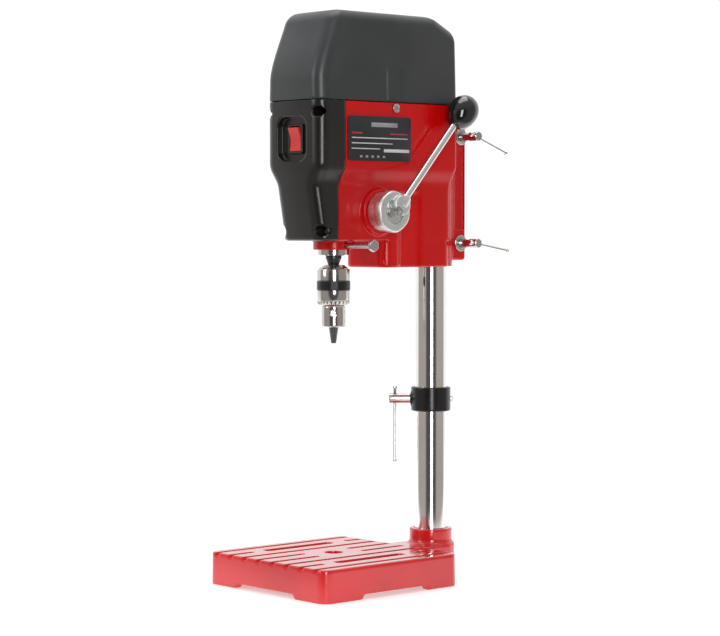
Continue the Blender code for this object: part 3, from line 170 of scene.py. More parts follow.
def surface(field, low, high, step):
    """The zero surface of a field as points and quads, by surface nets pulled onto the surface."""
    low = np.array(low, float) - 1.5 * step
    axes = [np.arange(low[i], high[i] + 2.5 * step, step) for i in range(3)]
    size = [len(a) for a in axes]
    value = np.empty(size)
    plane = np.stack(np.meshgrid(axes[1], axes[2], indexing="ij"), -1).reshape(-1, 2)
    block = 12
    for start in range(0, size[0], block):
        xs = axes[0][start:start + block]
        points = np.empty((len(xs), len(plane), 3))
        points[:, :, 0] = xs[:, None]
        points[:, :, 1:] = plane
        value[start:start + block] = field(points.reshape(-1, 3)).reshape(len(xs), size[1], size[2])
    cells = [n - 1 for n in size]
    total = np.zeros((np.prod(cells), 3))
    count = np.zeros(np.prod(cells))
    strides = np.array([cells[1] * cells[2], cells[2], 1])
    corners = []
    for a in range(3):
        b, c = (a + 1) % 3, (a + 2) % 3
        first = np.take(value, range(size[a] - 1), axis=a)
        second = np.take(value, range(1, size[a]), axis=a)
        index = np.argwhere((first < 0) != (second < 0))
        va = first[tuple(index.T)]
        vb = second[tuple(index.T)]
        place = index.astype(float)
        place[:, a] += va / (va - vb)
        around = []
        for db, dc in ((0, 0), (1, 0), (1, 1), (0, 1)):
            cell = index.copy()
            cell[:, b] -= db
            cell[:, c] -= dc
            flat = cell @ strides
            around.append(flat)
            count += np.bincount(flat, minlength=len(count))
            for k in range(3):
                total[:, k] += np.bincount(flat, weights=place[:, k], minlength=len(count))
        quad = np.stack(around, 1)
        quad[va > 0] = quad[va > 0][:, ::-1]
        corners.append(quad)
    used = np.flatnonzero(count)
    number = np.full(len(count), -1)
    number[used] = np.arange(len(used))
    points = low + step * total[used] / count[used, None]
    for _ in range(4):
        here = field(points)
        reach = step * 0.05
        slope = np.empty_like(points)
        for k in range(3):
            shift = np.zeros(3)
            shift[k] = reach
            slope[:, k] = (field(points + shift) - field(points - shift)) / (2 * reach)
        steep = np.maximum((slope ** 2).sum(1), 0.15)
        move = slope * (here / steep)[:, None]
        length = np.linalg.norm(move, axis=1)
        move *= np.minimum(1, 0.35 * step / np.maximum(length, 1e-9))[:, None]
        points = points - move
    quads = number[np.concatenate(corners)]
    return points, quads


# ---- making pieces

def new_piece(name, mesh, body, node, look, angle=None):
    """A piece that rides on a body, and stands in for a CAD node if one is given."""
    slot, material = look
    obj = bpy.data.objects.new(name, mesh)
    bpy.context.scene.collection.objects.link(obj)
    mesh.materials.clear()
    mesh.materials.append(material)
    mesh.shade_smooth()
    if angle:
        mesh.set_sharp_from_angle(angle=math.radians(angle))
    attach(obj, body)
    if node:
        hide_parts(node)
    return obj


def frame_of(towards):
    """A rotation that takes +Z to the direction given."""
    return Vector(towards).to_track_quat("Z", "Y").to_matrix().to_4x4()


def cast(name, field, low, high, step, body, node, look, at=None, towards=UP):
    """A piece with soft cast edges, from a distance field; with at, the field's Z axis is towards."""
    points, quads = surface(field, low, high, step)
    mesh = bpy.data.meshes.new(name)
    mesh.from_pydata((points * MM).tolist(), [], quads.tolist())
    if at is not None:
        mesh.transform(Matrix.Translation(Vector(at) * MM) @ frame_of(towards))
    mesh.update()
    return new_piece(name, mesh, body, node, look, 50)


def turned_mesh(name, profile, at, towards=UP, steps=72, wave=None):
    """A closed or open profile of (radius, height) in mm, turned about a line; wave shapes it by angle."""
    form = bmesh.new()
    ring_of = []
    place = Matrix.Translation(Vector(at) * MM) @ frame_of(towards)
    for radius, height in profile:
        ring = []
        if radius < 1e-6:
            vertex = form.verts.new(place @ Vector((0, 0, height * MM)))
            ring = [vertex] * steps
        else:
            for i in range(steps):
                angle = 2 * math.pi * i / steps
                r = radius + (wave(angle, radius, height) if wave else 0)
                ring.append(form.verts.new(place @ Vector((r * math.cos(angle) * MM,
                                                           r * math.sin(angle) * MM, height * MM))))
        ring_of.append(ring)
    closed = profile[0][0] > 1e-6 and profile[-1][0] > 1e-6
    pairs = list(zip(ring_of, ring_of[1:]))
    if closed:
        pairs.append((ring_of[-1], ring_of[0]))
    for upper, lower in pairs:
        for i in range(steps):
            j = (i + 1) % steps
            loop = []
            for vertex in (upper[i], lower[i], lower[j], upper[j]):
                if vertex not in loop:
                    loop.append(vertex)
            if len(loop) > 2:
                form.faces.new(loop)
    bmesh.ops.recalc_face_normals(form, faces=form.faces)
    mesh = bpy.data.meshes.new(name)
    form.to_mesh(mesh)
    form.free()
    return mesh


def round_corners(profile, radius, steps=4):
    """Rounds each inner corner of a profile by the radius, or less where a side is short."""
    points = [Vector((r, h)) for r, h in profile]
    out = [points[0]]
    for before, here, after in zip(points, points[1:], points[2:]):
        one = before - here
        two = after - here
        cutback = min(radius, one.length * 0.45, two.length * 0.45)
        start = here + one.normalized() * cutback
        end = here + two.normalized() * cutback
        for i in range(steps + 1):
            t = i / steps
            out.append(start * (1 - t) ** 2 + here * 2 * t * (1 - t) + end * t * t)
    out.append(points[-1])
    return [(p.x, p.y) for p in out]


def turned(name, profile, at, towards, body, node, look, edge=0.5, steps=72, wave=None):
    mesh = turned_mesh(name, round_corners(profile, edge) if edge else profile, at, towards, steps, wave)
    return new_piece(name, mesh, body, node, look, 32)


def prism_mesh(name, outline, low, high, place, edge):
    """A flat outline (mm) made solid along the local Z, with edges rounded by a Bevel."""
    form = bmesh.new()
    bottom = [form.verts.new((u * MM, v * MM, low * MM)) for u, v in outline]
    face = form.faces.new(bottom)
    grown = bmesh.ops.extrude_face_region(form, geom=[face])
    top = [v for v in grown["geom"] if isinstance(v, bmesh.types.BMVert)]
    bmesh.ops.translate(form, verts=top, vec=(0, 0, (high - low) * MM))
    bmesh.ops.recalc_face_normals(form, faces=form.faces)
    if edge:
        rims = [e for e in form.edges if abs((e.verts[0].co - e.verts[1].co).z) < 1e-9]
        bmesh.ops.bevel(form, geom=rims, offset=edge * MM, segments=3, profile=0.5, affect="EDGES",
                        clamp_overlap=True)
    form.transform(place)
    mesh = bpy.data.meshes.new(name)
    form.to_mesh(mesh)
    form.free()
    return mesh


# ---- materials

class Nodes:
    """Short calls for making and joining the nodes of a tree."""

    def __init__(self, tree):
        self.tree = tree

    def node(self, kind, **values):
        node = self.tree.nodes.new(kind)
        for key, value in values.items():
            setattr(node, key, value)
        return node

    def link(self, a, b):
        self.tree.links.new(a, b)

    def ramp(self, value, low, high, to_low=0.0, to_high=1.0):
        node = self.node("ShaderNodeMapRange", interpolation_type="SMOOTHSTEP")
        for key, number in zip(("From Min", "From Max", "To Min", "To Max"), (low, high, to_low, to_high)):
            node.inputs[key].default_value = number
        self.link(value, node.inputs["Value"])
        return node.outputs["Result"]

    def mix(self, factor, one, two):
        node = self.node("ShaderNodeMix", data_type="RGBA")
        self.link(factor, node.inputs[0])
        for socket, value in ((node.inputs[6], one), (node.inputs[7], two)):
            if isinstance(value, tuple):
                socket.default_value = (*value, 1)
            else:
                self.link(value, socket)
        return node.outputs[2]

    def along(self, place, way):
        """How far a place, or a direction, goes along the way given."""
        node = self.node("ShaderNodeVectorMath", operation="DOT_PRODUCT")
        node.inputs[1].default_value = way
        self.link(place, node.inputs[0])
        return node.outputs["Value"]


class Shader(Nodes):
    """A material's tree, in object coordinates, around its Principled shader."""

    def __init__(self, name):
        self.material = bpy.data.materials.new(name)
        self.material.use_nodes = True
        super().__init__(self.material.node_tree)
        self.out = self.tree.nodes["Principled BSDF"]
        self.place = self.node("ShaderNodeTexCoord").outputs["Object"]
        self.normal = None

    def noise(self, scale, detail=3.0, roughness=0.5, stretch=(1, 1, 1)):
        mapping = self.node("ShaderNodeMapping")
        mapping.inputs["Scale"].default_value = stretch
        self.link(self.place, mapping.inputs["Vector"])
        node = self.node("ShaderNodeTexNoise")
        node.inputs["Scale"].default_value = scale
        node.inputs["Detail"].default_value = detail
        node.inputs["Roughness"].default_value = roughness
        self.link(mapping.outputs["Vector"], node.inputs["Vector"])
        return node.outputs["Fac"]

    def relief(self, value, strength, distance):
        """A bump over the ones before it, with its distance in mm."""
        node = self.node("ShaderNodeBump")
        node.inputs["Strength"].default_value = strength
        node.inputs["Distance"].default_value = distance * MM
        self.link(value, node.inputs["Height"])
        if self.normal:
            self.link(self.normal, node.inputs["Normal"])
        self.normal = node.outputs["Normal"]

    def finish(self, color, roughness, metallic=0.0, coat=0.0, specular=0.5):
        self.link(color, self.out.inputs["Base Color"])
        self.link(roughness, self.out.inputs["Roughness"])
        self.out.inputs["Metallic"].default_value = metallic
        self.out.inputs["Coat Weight"].default_value = coat
        self.out.inputs["Coat Roughness"].default_value = 0.05
        self.out.inputs["Specular IOR Level"].default_value = specular
        if self.normal:
            self.link(self.normal, self.out.inputs["Normal"])
        return self.material


def paint(name, main, deep, roughness, peel=0.10, coat=0.15, pits=0.0, specular=0.3):
    """Sprayed paint over a casting: slow colour drift, orange peel and faint casting waviness."""
    s = Shader(name)
    drift = s.ramp(s.noise(9, 3), 0.35, 0.65)
    speck = s.ramp(s.noise(1400, 2), 0.62, 0.75, 0, 0.35)
    color = s.mix(speck, s.mix(drift, main, deep), deep)
    s.relief(s.noise(60, 2), 0.12, 0.35)
    s.relief(s.noise(900, 2), peel, 0.06)
    if pits:
        s.relief(s.noise(420, 4, 0.7), pits, 0.12)
    rough = s.ramp(s.noise(35, 4), 0.3, 0.7, roughness * 0.8, roughness * 1.25)
    return s.finish(color, rough, coat=coat, specular=specular)


def plastic(name, main, deep, roughness, grain=0.25, grain_scale=1500, coat=0.0):
    """Moulded plastic with a fine spark-eroded grain."""
    s = Shader(name)
    color = s.mix(s.ramp(s.noise(14, 3), 0.35, 0.65), main, deep)
    s.relief(s.noise(grain_scale, 3, 0.6), grain, 0.05)
    s.relief(s.noise(40, 2), 0.05, 0.3)
    rough = s.ramp(s.noise(25, 4), 0.3, 0.7, roughness * 0.85, roughness * 1.2)
    return s.finish(color, rough, coat=coat)


def metal(name, main, deep, roughness, stretch=(1, 1, 1), lines=900, relief=0.1, specks=0.0):
    """Machined or plated metal: fine tool lines across the stretch, with slow tarnish."""
    s = Shader(name)
    tarnish = s.ramp(s.noise(25, 4), 0.3, 0.7)
    color = s.mix(tarnish, main, deep)
    line = s.noise(lines, 2, 0.5, stretch)
    s.relief(line, relief, 0.02)
    if specks:
        s.relief(s.noise(700, 4, 0.7), specks, 0.15)
    rough = s.ramp(line, 0.3, 0.7, roughness * 0.75, roughness * 1.3)
    return s.finish(color, rough, metallic=1.0)


def grey(value):
    return value, value, value


# Each look is a slot and the material that goes in it.
RED = "red_paint", paint("red_paint", (0.68, 0.0020, 0.0034), (0.58, 0.0014, 0.0026), 0.22)
RED_BASE = "red_paint", paint("red_base_paint", (0.66, 0.010, 0.012), (0.56, 0.006, 0.008),
                              0.15, 0.15, 0.6, pits=0.04, specular=0.5)
HOOD = "hood_plastic", plastic("hood_plastic", (0.048, 0.052, 0.055), (0.036, 0.040, 0.043), 0.36, 0.3)
COVER = "black_plastic", plastic("cover_plastic", (0.011, 0.011, 0.009), (0.008, 0.008, 0.007),
                                 0.24, 0.10, coat=0.12)
BLACK = "black_plastic", plastic("black_gloss", grey(0.006), grey(0.004), 0.10, 0.02, coat=0.8)
BLACK_PAINT = "black_paint", paint("black_paint", grey(0.010), grey(0.007), 0.24, coat=0.3)
CHROME = "chrome", metal("chrome", (0.90, 0.88, 0.86), (0.84, 0.82, 0.80), 0.08, (1, 1, 14), 220, 0.008)
STEEL = "steel", metal("steel", (0.62, 0.61, 0.60), (0.52, 0.51, 0.50), 0.24, (1, 1, 6), 700, 0.12)
DARK = "dark_steel", metal("dark_steel", grey(0.10), grey(0.06), 0.32, (1, 1, 6), 700, 0.12)
ALUMINIUM = "cast_aluminium", metal("cast_aluminium", (0.84, 0.86, 0.85), (0.72, 0.74, 0.73), 0.40,
                                    (1, 1, 1), 500, 0.1, 0.25)
BRIGHT = "steel", metal("bright_steel", (0.66, 0.64, 0.61), (0.58, 0.56, 0.53), 0.13, (1, 1, 10), 500, 0.06)
BRIGHT_PLATE = "chrome", BRIGHT[1]
JAW_STEEL = "steel", metal("jaw_steel", grey(0.26), grey(0.18), 0.30, (1, 1, 8), 600, 0.12)
BAND_BLACK = "black_paint", paint("band_black", (0.014, 0.014, 0.016), (0.010, 0.010, 0.012), 0.22, coat=0.2)
BLACK_MATT = "black_plastic", plastic("switch_black", grey(0.012), grey(0.009), 0.38, 0.12)
RUBBER = "rubber", plastic("rubber", grey(0.014), grey(0.010), 0.75, 0.3)
SWITCH = "switch_red", plastic("switch_red", (0.80, 0.030, 0.018), (0.70, 0.02, 0.012), 0.28, 0.04, coat=0.4)
LABEL = "label", plastic("label_film", (0.022, 0.024, 0.028), (0.018, 0.020, 0.024), 0.38, 0.05)
PRINT_WHITE = "label", plastic("print_white", grey(0.75), grey(0.68), 0.5, 0.05)
PRINT_GREY = "label", plastic("print_grey", (0.36, 0.36, 0.37), (0.32, 0.32, 0.33), 0.5, 0.05)
PRINT_RED = "label", plastic("print_red", (0.55, 0.03, 0.03), (0.45, 0.02, 0.02), 0.5, 0.05)


# ---- base

TABLE_HALF = 86.0
TABLE_FRONT = BASE_LOW[1]
TABLE_REAR = TABLE_FRONT + 171.0
TABLE_TOP = 31.0
TABLE_WALL = 7.0
TABLE_ROOF = 22.0
GROOVE_PITCH = 20.8
GROOVE_HALF = 2.75
GROOVE_DEPTH = 2.6
BOLT_SLOT = (TABLE_FRONT + 43, TABLE_FRONT + 129)
BOLT_SLOT_HALF = 5.0
CENTRE_HOLE_R = 8.75
CUTS_FROM = 12.0
ARCH_TOP = 4.4
ARCH_FLARE = 0.8
TAIL_R = 24.0
SOCKET_R = 21.5
SOCKET_TOP = 44.0
COLUMN_CLEARANCE = 0.3
BASE_SCREW_Z = 37.5


def groove_spans():
    """Each groove's place across the table, in pitches, and where it runs from front to back."""
    start, end = TABLE_FRONT - 6, TABLE_REAR - 4
    return ((0.5, ((start, SPINDLE_Y - 28), (SPINDLE_Y + 27, end))),
            (1.5, ((start, end),)),
            (2.5, ((start, TABLE_FRONT + 29), (TABLE_FRONT + 145.5, end))),
            (3.5, ((start, end),)))


def base_blank(p):
    """The table, the tail behind it and the column's socket, hollow underneath."""
    x, y, z = p.T
    radial = np.hypot(x, y)
    plan = round_rect(x, y, (-TABLE_HALF, TABLE_FRONT), (TABLE_HALF, TABLE_REAR), 10)
    draft = 0.012 * (z - TABLE_TOP)
    table = soft_max(plan + draft, z - TABLE_TOP, 1.8)
    spine = np.clip(y, TABLE_REAR - 10, 0)
    tail = soft_max(np.hypot(x, y - spine) - TAIL_R, z - 29.0, 2.0)
    socket = soft_max(radial - SOCKET_R, z - SOCKET_TOP, 1.2)
    body = soft_min(soft_min(table, tail, 1.5), socket, 4.0)
    body = soft_max(body, -z, 0.8)
    inner = round_rect(x, y, (TABLE_WALL - TABLE_HALF, TABLE_FRONT + TABLE_WALL),
                       (TABLE_HALF - TABLE_WALL, TABLE_REAR - TABLE_WALL), 6)
    return less(body, soft_max(inner, z - TABLE_ROOF, 1.5), 0.5)


def base_field(p):
    x, y, z = p.T
    body = base_blank(p)
    for side in (-GROOVE_PITCH, GROOVE_PITCH):
        for place, spans in groove_spans():
            for start, end in spans:
                groove = slot_field(x, y, side * place, start, end, GROOVE_HALF)
                body = less(body, soft_max(groove, TABLE_TOP - GROOVE_DEPTH - z, 1.0), 0.7)
        slot = slot_field(x, y, side * 2.5, *BOLT_SLOT, BOLT_SLOT_HALF)
        body = less(body, soft_max(slot, CUTS_FROM - z, 0.2), 0.7)
    body = less(body, common(disc(x, y, 0, SPINDLE_Y, CENTRE_HOLE_R), CUTS_FROM - z), 0.7)
    flare = ARCH_FLARE * z
    front_arch = common(np.abs(x) - 44 + flare, z - ARCH_TOP, y - TABLE_FRONT - 8)
    body = less(body, front_arch, 0.4)
    middle = TABLE_FRONT + 88
    side_arch = common(np.abs(y - middle) - 42 + flare, z - ARCH_TOP, 78 - np.abs(x))
    body = less(body, side_arch, 0.4)
    body = less(body, common(np.hypot(x, y) - COLUMN_R - COLUMN_CLEARANCE, 8 - z), 0.5)
    return less(body, common(disc(x, z, 0, BASE_SCREW_Z, 3.3), 14 - y), 0.3)


def make_base():
    cast("base_casting", base_field, BASE_LOW, BASE_HIGH, 1.3, "base", "base", RED_BASE)


# ---- head

HEAD_WALL = 4.0
SIDE_SLOPE = 0.94
FEED_BOSS_R = 22.2
FEED_BOSS_FACE = 36.0
QUILL_BOSS_R = 19.7
QUILL_RING_Z = 322.3
QUILL_BORE_R = 15.3
BARREL_R = 21.0
LUG_HALF = 13.0
LUG_LOW = (-LUG_HALF, 8, 311)
LUG_HIGH = (LUG_HALF, 36, 445)
LOCK_Z = 326.5
HOOD_SCREW_Y = -85.5
HOOD_SCREW_Z = 457.5
SCREW_HOLE_R = 2.3


def head_half(z):
    """The head's half width: narrow below, wide above, with an easing taper between."""
    return LOWER_HALF + (HEAD_HALF - LOWER_HALF) * smooth((z - TAPER_LOW + 2) / (TAPER_HIGH - TAPER_LOW + 4))


def head_skin(p):
    x, y, z = p.T
    ax = np.abs(x)
    valley = 3.2 * bump(y, -66, -48, 9) * smooth((TAPER_LOW - 2 - z) / 8)
    side = (ax - head_half(z) + valley) * SIDE_SLOPE
    main = soft_max(side, y - REAR_Y + 0.2, 4.0)
    main = soft_max(main, SEAM_Y + 0.3 - y, 0.6)
    main = soft_max(main, NOSE_Z - z, 2.0)
    main = soft_max(main, z - SEAM_Z, 0.6)
    plan = common(round_rect(x, y, (-LOWER_HALF, -90), (LOWER_HALF, 1.0), 12), side)
    lower = soft_max(soft_max(plan, HEAD_LOW[2] - z, 2.5), z - TAPER_LOW, 2.0)
    body = soft_min(main, lower, 1.5)
    for side_sign in (1, -1):
        boss = soft_max(disc(y, z, FEED_Y, FEED_Z, FEED_BOSS_R), side_sign * x - FEED_BOSS_FACE, 1.5)
        body = soft_min(body, common(boss, 20 - side_sign * x), 3.0)
    ring = soft_max(disc(x, y, 0, SPINDLE_Y, QUILL_BOSS_R), QUILL_RING_Z - z, 0.8)
    return soft_min(body, common(ring, z - 340), 1.0)


def head_hollow(p):
    x, y, z = p.T
    side = (np.abs(x) - head_half(z) + HEAD_WALL) * SIDE_SLOPE
    upper = common(side, y - REAR_Y + HEAD_WALL, SEAM_Y + HEAD_WALL + 0.3 - y,
                   NOSE_Z + HEAD_WALL - z, z - SEAM_Z - 5)
    lower = round_box(p, (-26.8, -86, HEAD_LOW[2] + HEAD_WALL), (26.8, -23, 340), 0.5)
    return np.minimum(upper, lower)


def with_inner_walls(body, p):
    """Adds the column's barrel, the clamp's lugs, the quill's boss and the motor's ledges."""
    x, y, z = p.T
    folded = mirrored(p)
    barrel = common(slab(z, HEAD_LOW[2] + 0.5, 455.0), np.hypot(x, y) - BARREL_R)
    body = soft_min(body, barrel, 1.2)
    body = soft_min(body, round_box(p, LUG_LOW, LUG_HIGH, 3.0), 2.0)
    boss = common(disc(x, y, 0, SPINDLE_Y, QUILL_BOSS_R), slab(z, 330, 408))
    body = soft_min(body, boss, 0.5)
    for ledge_y in (-112, -34):
        ledge = round_box(folded, (27, ledge_y - 5, 404), (39, ledge_y + 5, 446), 0.5)
        body = soft_min(body, ledge, 0.5)
    return less(body, round_box(folded, (9, 21, 342), (14.5, 34.5, 426), 1.2), 0.8)


def with_bores(body, p):
    x, y, z = p.T
    ax = np.abs(x)
    body = less(body, np.hypot(x, y) - COLUMN_R - COLUMN_CLEARANCE, 0.6)
    body = less(body, common(ax - 1.0, 10 - y), 0.4)
    for clamp_z in CLAMP_ZS:
        body = less(body, common(disc(y, z, CLAMP_Y, clamp_z, 4.3), ax - 14), 0.3)
    body = less(body, common(disc(x, y, 0, SPINDLE_Y, QUILL_BORE_R), slab(z, 300, 420)), 0.5)
    rack = round_box(p, (-3.3, SPINDLE_Y + 9, 300), (3.3, SPINDLE_Y + 17.6, 420), 0.2)
    body = less(body, rack, 0.2)
    window = round_box(p, (-7, SPINDLE_Y + 10, FEED_Z - 16.5), (7, FEED_Y, FEED_Z + 16.5), 0.5)
    body = less(body, window, 0.2)
    body = less(body, disc(y, z, FEED_Y, FEED_Z, 6.3), 0.3)
    body = less(body, common(disc(y, z, SPINDLE_Y, LOCK_Z, 2.8), 10 - x), 0.2)
    return less(body, common(disc(y, z, HOOD_SCREW_Y, HOOD_SCREW_Z, SCREW_HOLE_R), 30 - ax), 0.3)


def head_field(p):
    body = less(head_skin(p), head_hollow(p), 0.4)
    return with_bores(with_inner_walls(body, p), p)


def make_head():
    cast("head_shell", head_field, (-42, SEAM_Y - 1, HEAD_LOW[2]), (42, HEAD_HIGH[1], SEAM_Z + 1), 1.25,
         "head", "head_casting", RED)


# ---- front cover and belt hood

CORNER_R = 12.0
COVER_WALL = 3.0
NOSE_SLOPE = 0.176
NOSE_SLOPE_TOP = 397.0
COVER_SCREWS = ((34.3, 452.0), (25.8, 340.5))
COVER_SCREW_SEAT_Y = -158.0
SWITCH_RECESS = 20.7
HOOD_WALL = 2.5
HOOD_HEIGHT = 85.0
HOOD_REAR_LEAN = math.atan2(13.5, 27)
HOOD_REAR_LEAN_AT = (535.0, -2.3)


def crown(ax):
    """How far the front face falls back at a distance from the middle."""
    return 1.1 * (ax / 40.9) ** 2


def cover_outer(p, inset=0.0):
    x, y, z = p.T
    ax = np.abs(x)
    side = (ax - head_half(z) + inset) * SIDE_SLOPE
    front = FRONT_Y + crown(ax) + inset
    lean = (front + NOSE_SLOPE * (NOSE_SLOPE_TOP - z) - y) / math.hypot(1, NOSE_SLOPE)
    body = soft_max(side, common(front - y, lean), CORNER_R - inset)
    body = soft_max(body, NOSE_Z + inset - z, max(2.5 - inset, 0.4))
    return soft_max(body, z - SEAM_Z + inset, 0.7)


def cover_field(p):
    x, y, z = p.T
    ax = np.abs(x)
    body = soft_max(cover_outer(p), y - SEAM_Y, 0.7)
    hollow = cover_outer(p, COVER_WALL)
    reach = SWITCH_RECESS + COVER_WALL
    pan = round_box(p, (-reach, FRONT_Y - 2, SWITCH_Z - reach), (reach, FRONT_Y + 10, SWITCH_Z + reach), 2)
    hollow = less(hollow, pan, 0.5)
    for screw_x, screw_z in COVER_SCREWS:
        hollow = less(hollow, disc(ax, z, screw_x, screw_z, 6.8), 0.5)
    body = less(body, hollow, 0.4)
    reach = SWITCH_RECESS
    recess = round_rect(x, z, (-reach, SWITCH_Z - reach), (reach, SWITCH_Z + reach), 10)
    body = less(body, soft_max(recess, y - FRONT_Y - 7, 1.0), 1.0)
    hole = round_rect(x, z, (-9.3, SWITCH_Z - 13.1), (9.3, SWITCH_Z + 13.1), 0.5)
    body = less(body, common(hole, y - FRONT_Y - 14), 0.2)
    for screw_x, screw_z in COVER_SCREWS:
        body = less(body, soft_max(disc(ax, z, screw_x, screw_z, 5.0), y - COVER_SCREW_SEAT_Y, 0.3), 0.7)
        body = less(body, disc(ax, z, screw_x, screw_z, SCREW_HOLE_R), 0.3)
    return body


def make_cover():
    cast("front_cover_shell", cover_field, (-42, FRONT_Y, NOSE_Z), (42, SEAM_Y, SEAM_Z), 1.1,
         "head", "front_cover", COVER)


def hood_outer(p, inset=0.0):
    x, y, z = p.T
    ax = np.abs(x)
    side = ax - HEAD_HALF + 2.6 * np.clip((z - SEAM_Z) / HOOD_HEIGHT, 0, 1) + inset
    back_off = 20.5 * smooth((z - 482) / 88) ** 0.9 * 1.18
    front = (FRONT_Y + crown(ax) + back_off + inset - y) * 0.9
    body = soft_max(side, front, CORNER_R - inset)
    body = soft_max(body, y - REAR_Y + inset, 5 - inset)
    flat = z - HOOD_HIGH[2] + inset
    lean_z, lean_y = HOOD_REAR_LEAN_AT
    lean = (z - lean_z + inset) * math.cos(HOOD_REAR_LEAN) + (y - lean_y + inset) * math.sin(HOOD_REAR_LEAN)
    roof = common(soft_max(flat, lean, 4), flat)
    return soft_max(body, roof, 11 - inset)


def hood_field(p):
    x, y, z = p.T
    radial = np.hypot(x, y)
    folded = mirrored(p)
    ax = folded[:, 0]
    thumb_rest = 1.1 * bump(y, -93, -78, 4) * smooth((500 - z) / 14) * (ax > 25)
    body = soft_max(hood_outer(p) + thumb_rest, SEAM_Z + 0.6 - z, 0.8)
    hollow = less(hood_outer(p, HOOD_WALL), radial - 20.0, 0.5)
    body = less(body, hollow, 0.4)
    tab = round_box(folded, (33.1, -91.5, 452.5), (36.6, -79.5, 471), 0.4)
    bridge = round_box(folded, (33.1, -91.5, 465), (39.4, -79.5, 471), 0.4)
    body = soft_min(body, np.minimum(tab, bridge), 0.3)
    body = less(body, common(disc(y, z, HOOD_SCREW_Y, HOOD_SCREW_Z, SCREW_HOLE_R), ax - 39), 0.2)
    return less(body, radial - 17.5, 0.8)


def make_hood():
    cast("hood_shell", hood_field, (-42, FRONT_Y, 452), (42, REAR_Y, HOOD_HIGH[2]), 1.25,
         "head", "belt_hood", HOOD)


# ---- screw heads

def slotted_field(radius, height, slot, dome=1.0):
    """A screw head, standing on Z = 0, with a straight slot of the width given."""
    def field(p):
        u, v, w = p.T
        radial = np.hypot(u, v)
        cap = w - height + dome * (radial / radius) ** 2
        head = soft_max(soft_max(radial - radius, -w, 0.1), cap, 0.35)
        return less(head, common(np.abs(u) - slot / 2, height * 0.45 - w), 0.12)
    return field


def crossed_field(radius, height, dome=0.8, arm_half=0.5):
    """A pan head with a cross recess."""
    def field(p):
        u, v, w = p.T
        radial = np.hypot(u, v)
        cap = w - height + dome * (radial / radius) ** 2
        head = soft_max(soft_max(radial - radius, -w, 0.1), cap, 0.5)
        depth = height * 0.35 + radial * 0.5
        reach = radius * 0.55
        arms = np.minimum(common(np.abs(u) - arm_half, np.abs(v) - reach),
                          common(np.abs(v) - arm_half, np.abs(u) - reach))
        return less(head, common(arms, depth - w), 0.12)
    return field


def socket_field(radius, height):
    """A headless screw with a hexagon socket in its end."""
    def field(p):
        u, v, w = p.T
        shank = soft_max(np.hypot(u, v) - radius, slab(w, 0, height), 0.4)
        return less(shank, common(hexagon(u, v, radius * 0.5), height - 2.0 - w), 0.15)
    return field


def nut_field(radius, height, bore):
    """A hexagon nut with chamfered ends, or a bolt's head when the bore is 0."""
    def field(p):
        u, v, w = p.T
        radial = np.hypot(u, v)
        chamfer = (radial - radius + np.abs(w - height / 2) - height / 2 + 0.9) * 0.707
        body = soft_max(hexagon(u, v, radius * 0.866), slab(w, 0, height), 0.2)
        body = soft_max(body, chamfer, 0.2)
        return less(body, radial - bore, 0.4) if bore else body
    return field


def screw_head(name, field, radius, height, at, towards, body, node, look, step=0.3):
    cast(name, field, (-radius, -radius, 0), (radius, radius, height), step, body, node, look, at, towards)


# ---- feed hub, lever, knob

LEVER_TURN = math.radians(48)
LEVER_WAY = Vector((0, math.cos(LEVER_TURN), math.sin(LEVER_TURN)))
LEVER_X = 57.5
LEVER_R = 3.4
HUB_BACK_X = 36.3
HUB_FLANGE_X = 47.5
HUB_FACE_X = 55.5
HUB_FLOOR_X = 51.5
HUB_R = 18.6
HUB_FLANGE_R = 19.5
HUB_LOBES = 6
LOBE_PHASE = math.radians(97)
BOSS_FACE_X = 61.5
BOSS_REACH = 8.0
BOSS_R = 9.8
KNOB_CENTRE = 130.0
KNOB_HALF = 18.5
KNOB_R = 15.0
KNOB_SWEEP = math.radians(158)


def hub_field(p):
    """A drum with a lobed rim, a recess for its screw, and a boss that takes the lever."""
    x, y, z = p.T
    v, w = y - FEED_Y, z - FEED_Z
    radial = np.hypot(v, w)
    lobes = 0.5 * np.cos(HUB_LOBES * (np.arctan2(w, v) - LOBE_PHASE))
    flange = soft_max(radial - HUB_FLANGE_R - lobes, slab(x, HUB_FLANGE_X, HUB_FACE_X), 2.2)
    drum = soft_max(radial - HUB_R, slab(x, HUB_BACK_X, HUB_FACE_X), 1.5)
    body = soft_min(flange, drum, 2.5)
    body = less(body, soft_max(radial - 12.0, HUB_FLOOR_X - x, 1.5), 1.2)
    offset = disc(v, w, BOSS_REACH * LEVER_WAY.y, BOSS_REACH * LEVER_WAY.z, BOSS_R)
    body = soft_min(body, soft_max(offset, slab(x, 50.0, BOSS_FACE_X), 1.6), 1.5)
    along = v * LEVER_WAY.y + w * LEVER_WAY.z
    across = np.hypot(x - LEVER_X, w * LEVER_WAY.y - v * LEVER_WAY.z)
    neck = soft_max(across - 5.4, slab(along, BOSS_REACH, 19.0), 1.2)
    body = soft_min(body, neck, 1.5)
    body = less(body, soft_max(radial - 5.0, HUB_FLOOR_X - x, 0.3), 0.4)
    return less(body, common(across - LEVER_R - 0.3, 10.7 - along), 0.3)


def knob_profile(steps=40):
    """A slightly egg-shaped ball with a bore for the lever's end."""
    profile = [(0, KNOB_CENTRE + KNOB_HALF)]
    for i in range(1, steps + 1):
        angle = math.pi / 2 - KNOB_SWEEP * i / steps
        swell = 1 + 0.10 * math.sin(angle)
        profile.append((KNOB_R * math.cos(angle) * swell ** 0.5, KNOB_CENTRE + KNOB_HALF * math.sin(angle)))
    radius, foot = profile[-1]
    bore = LEVER_R + 0.3
    return profile + [(radius - 0.5, foot - 0.2), (bore + 0.5, foot - 0.2), (bore, foot), (bore, 121.5),
                      (0, 121.5)]


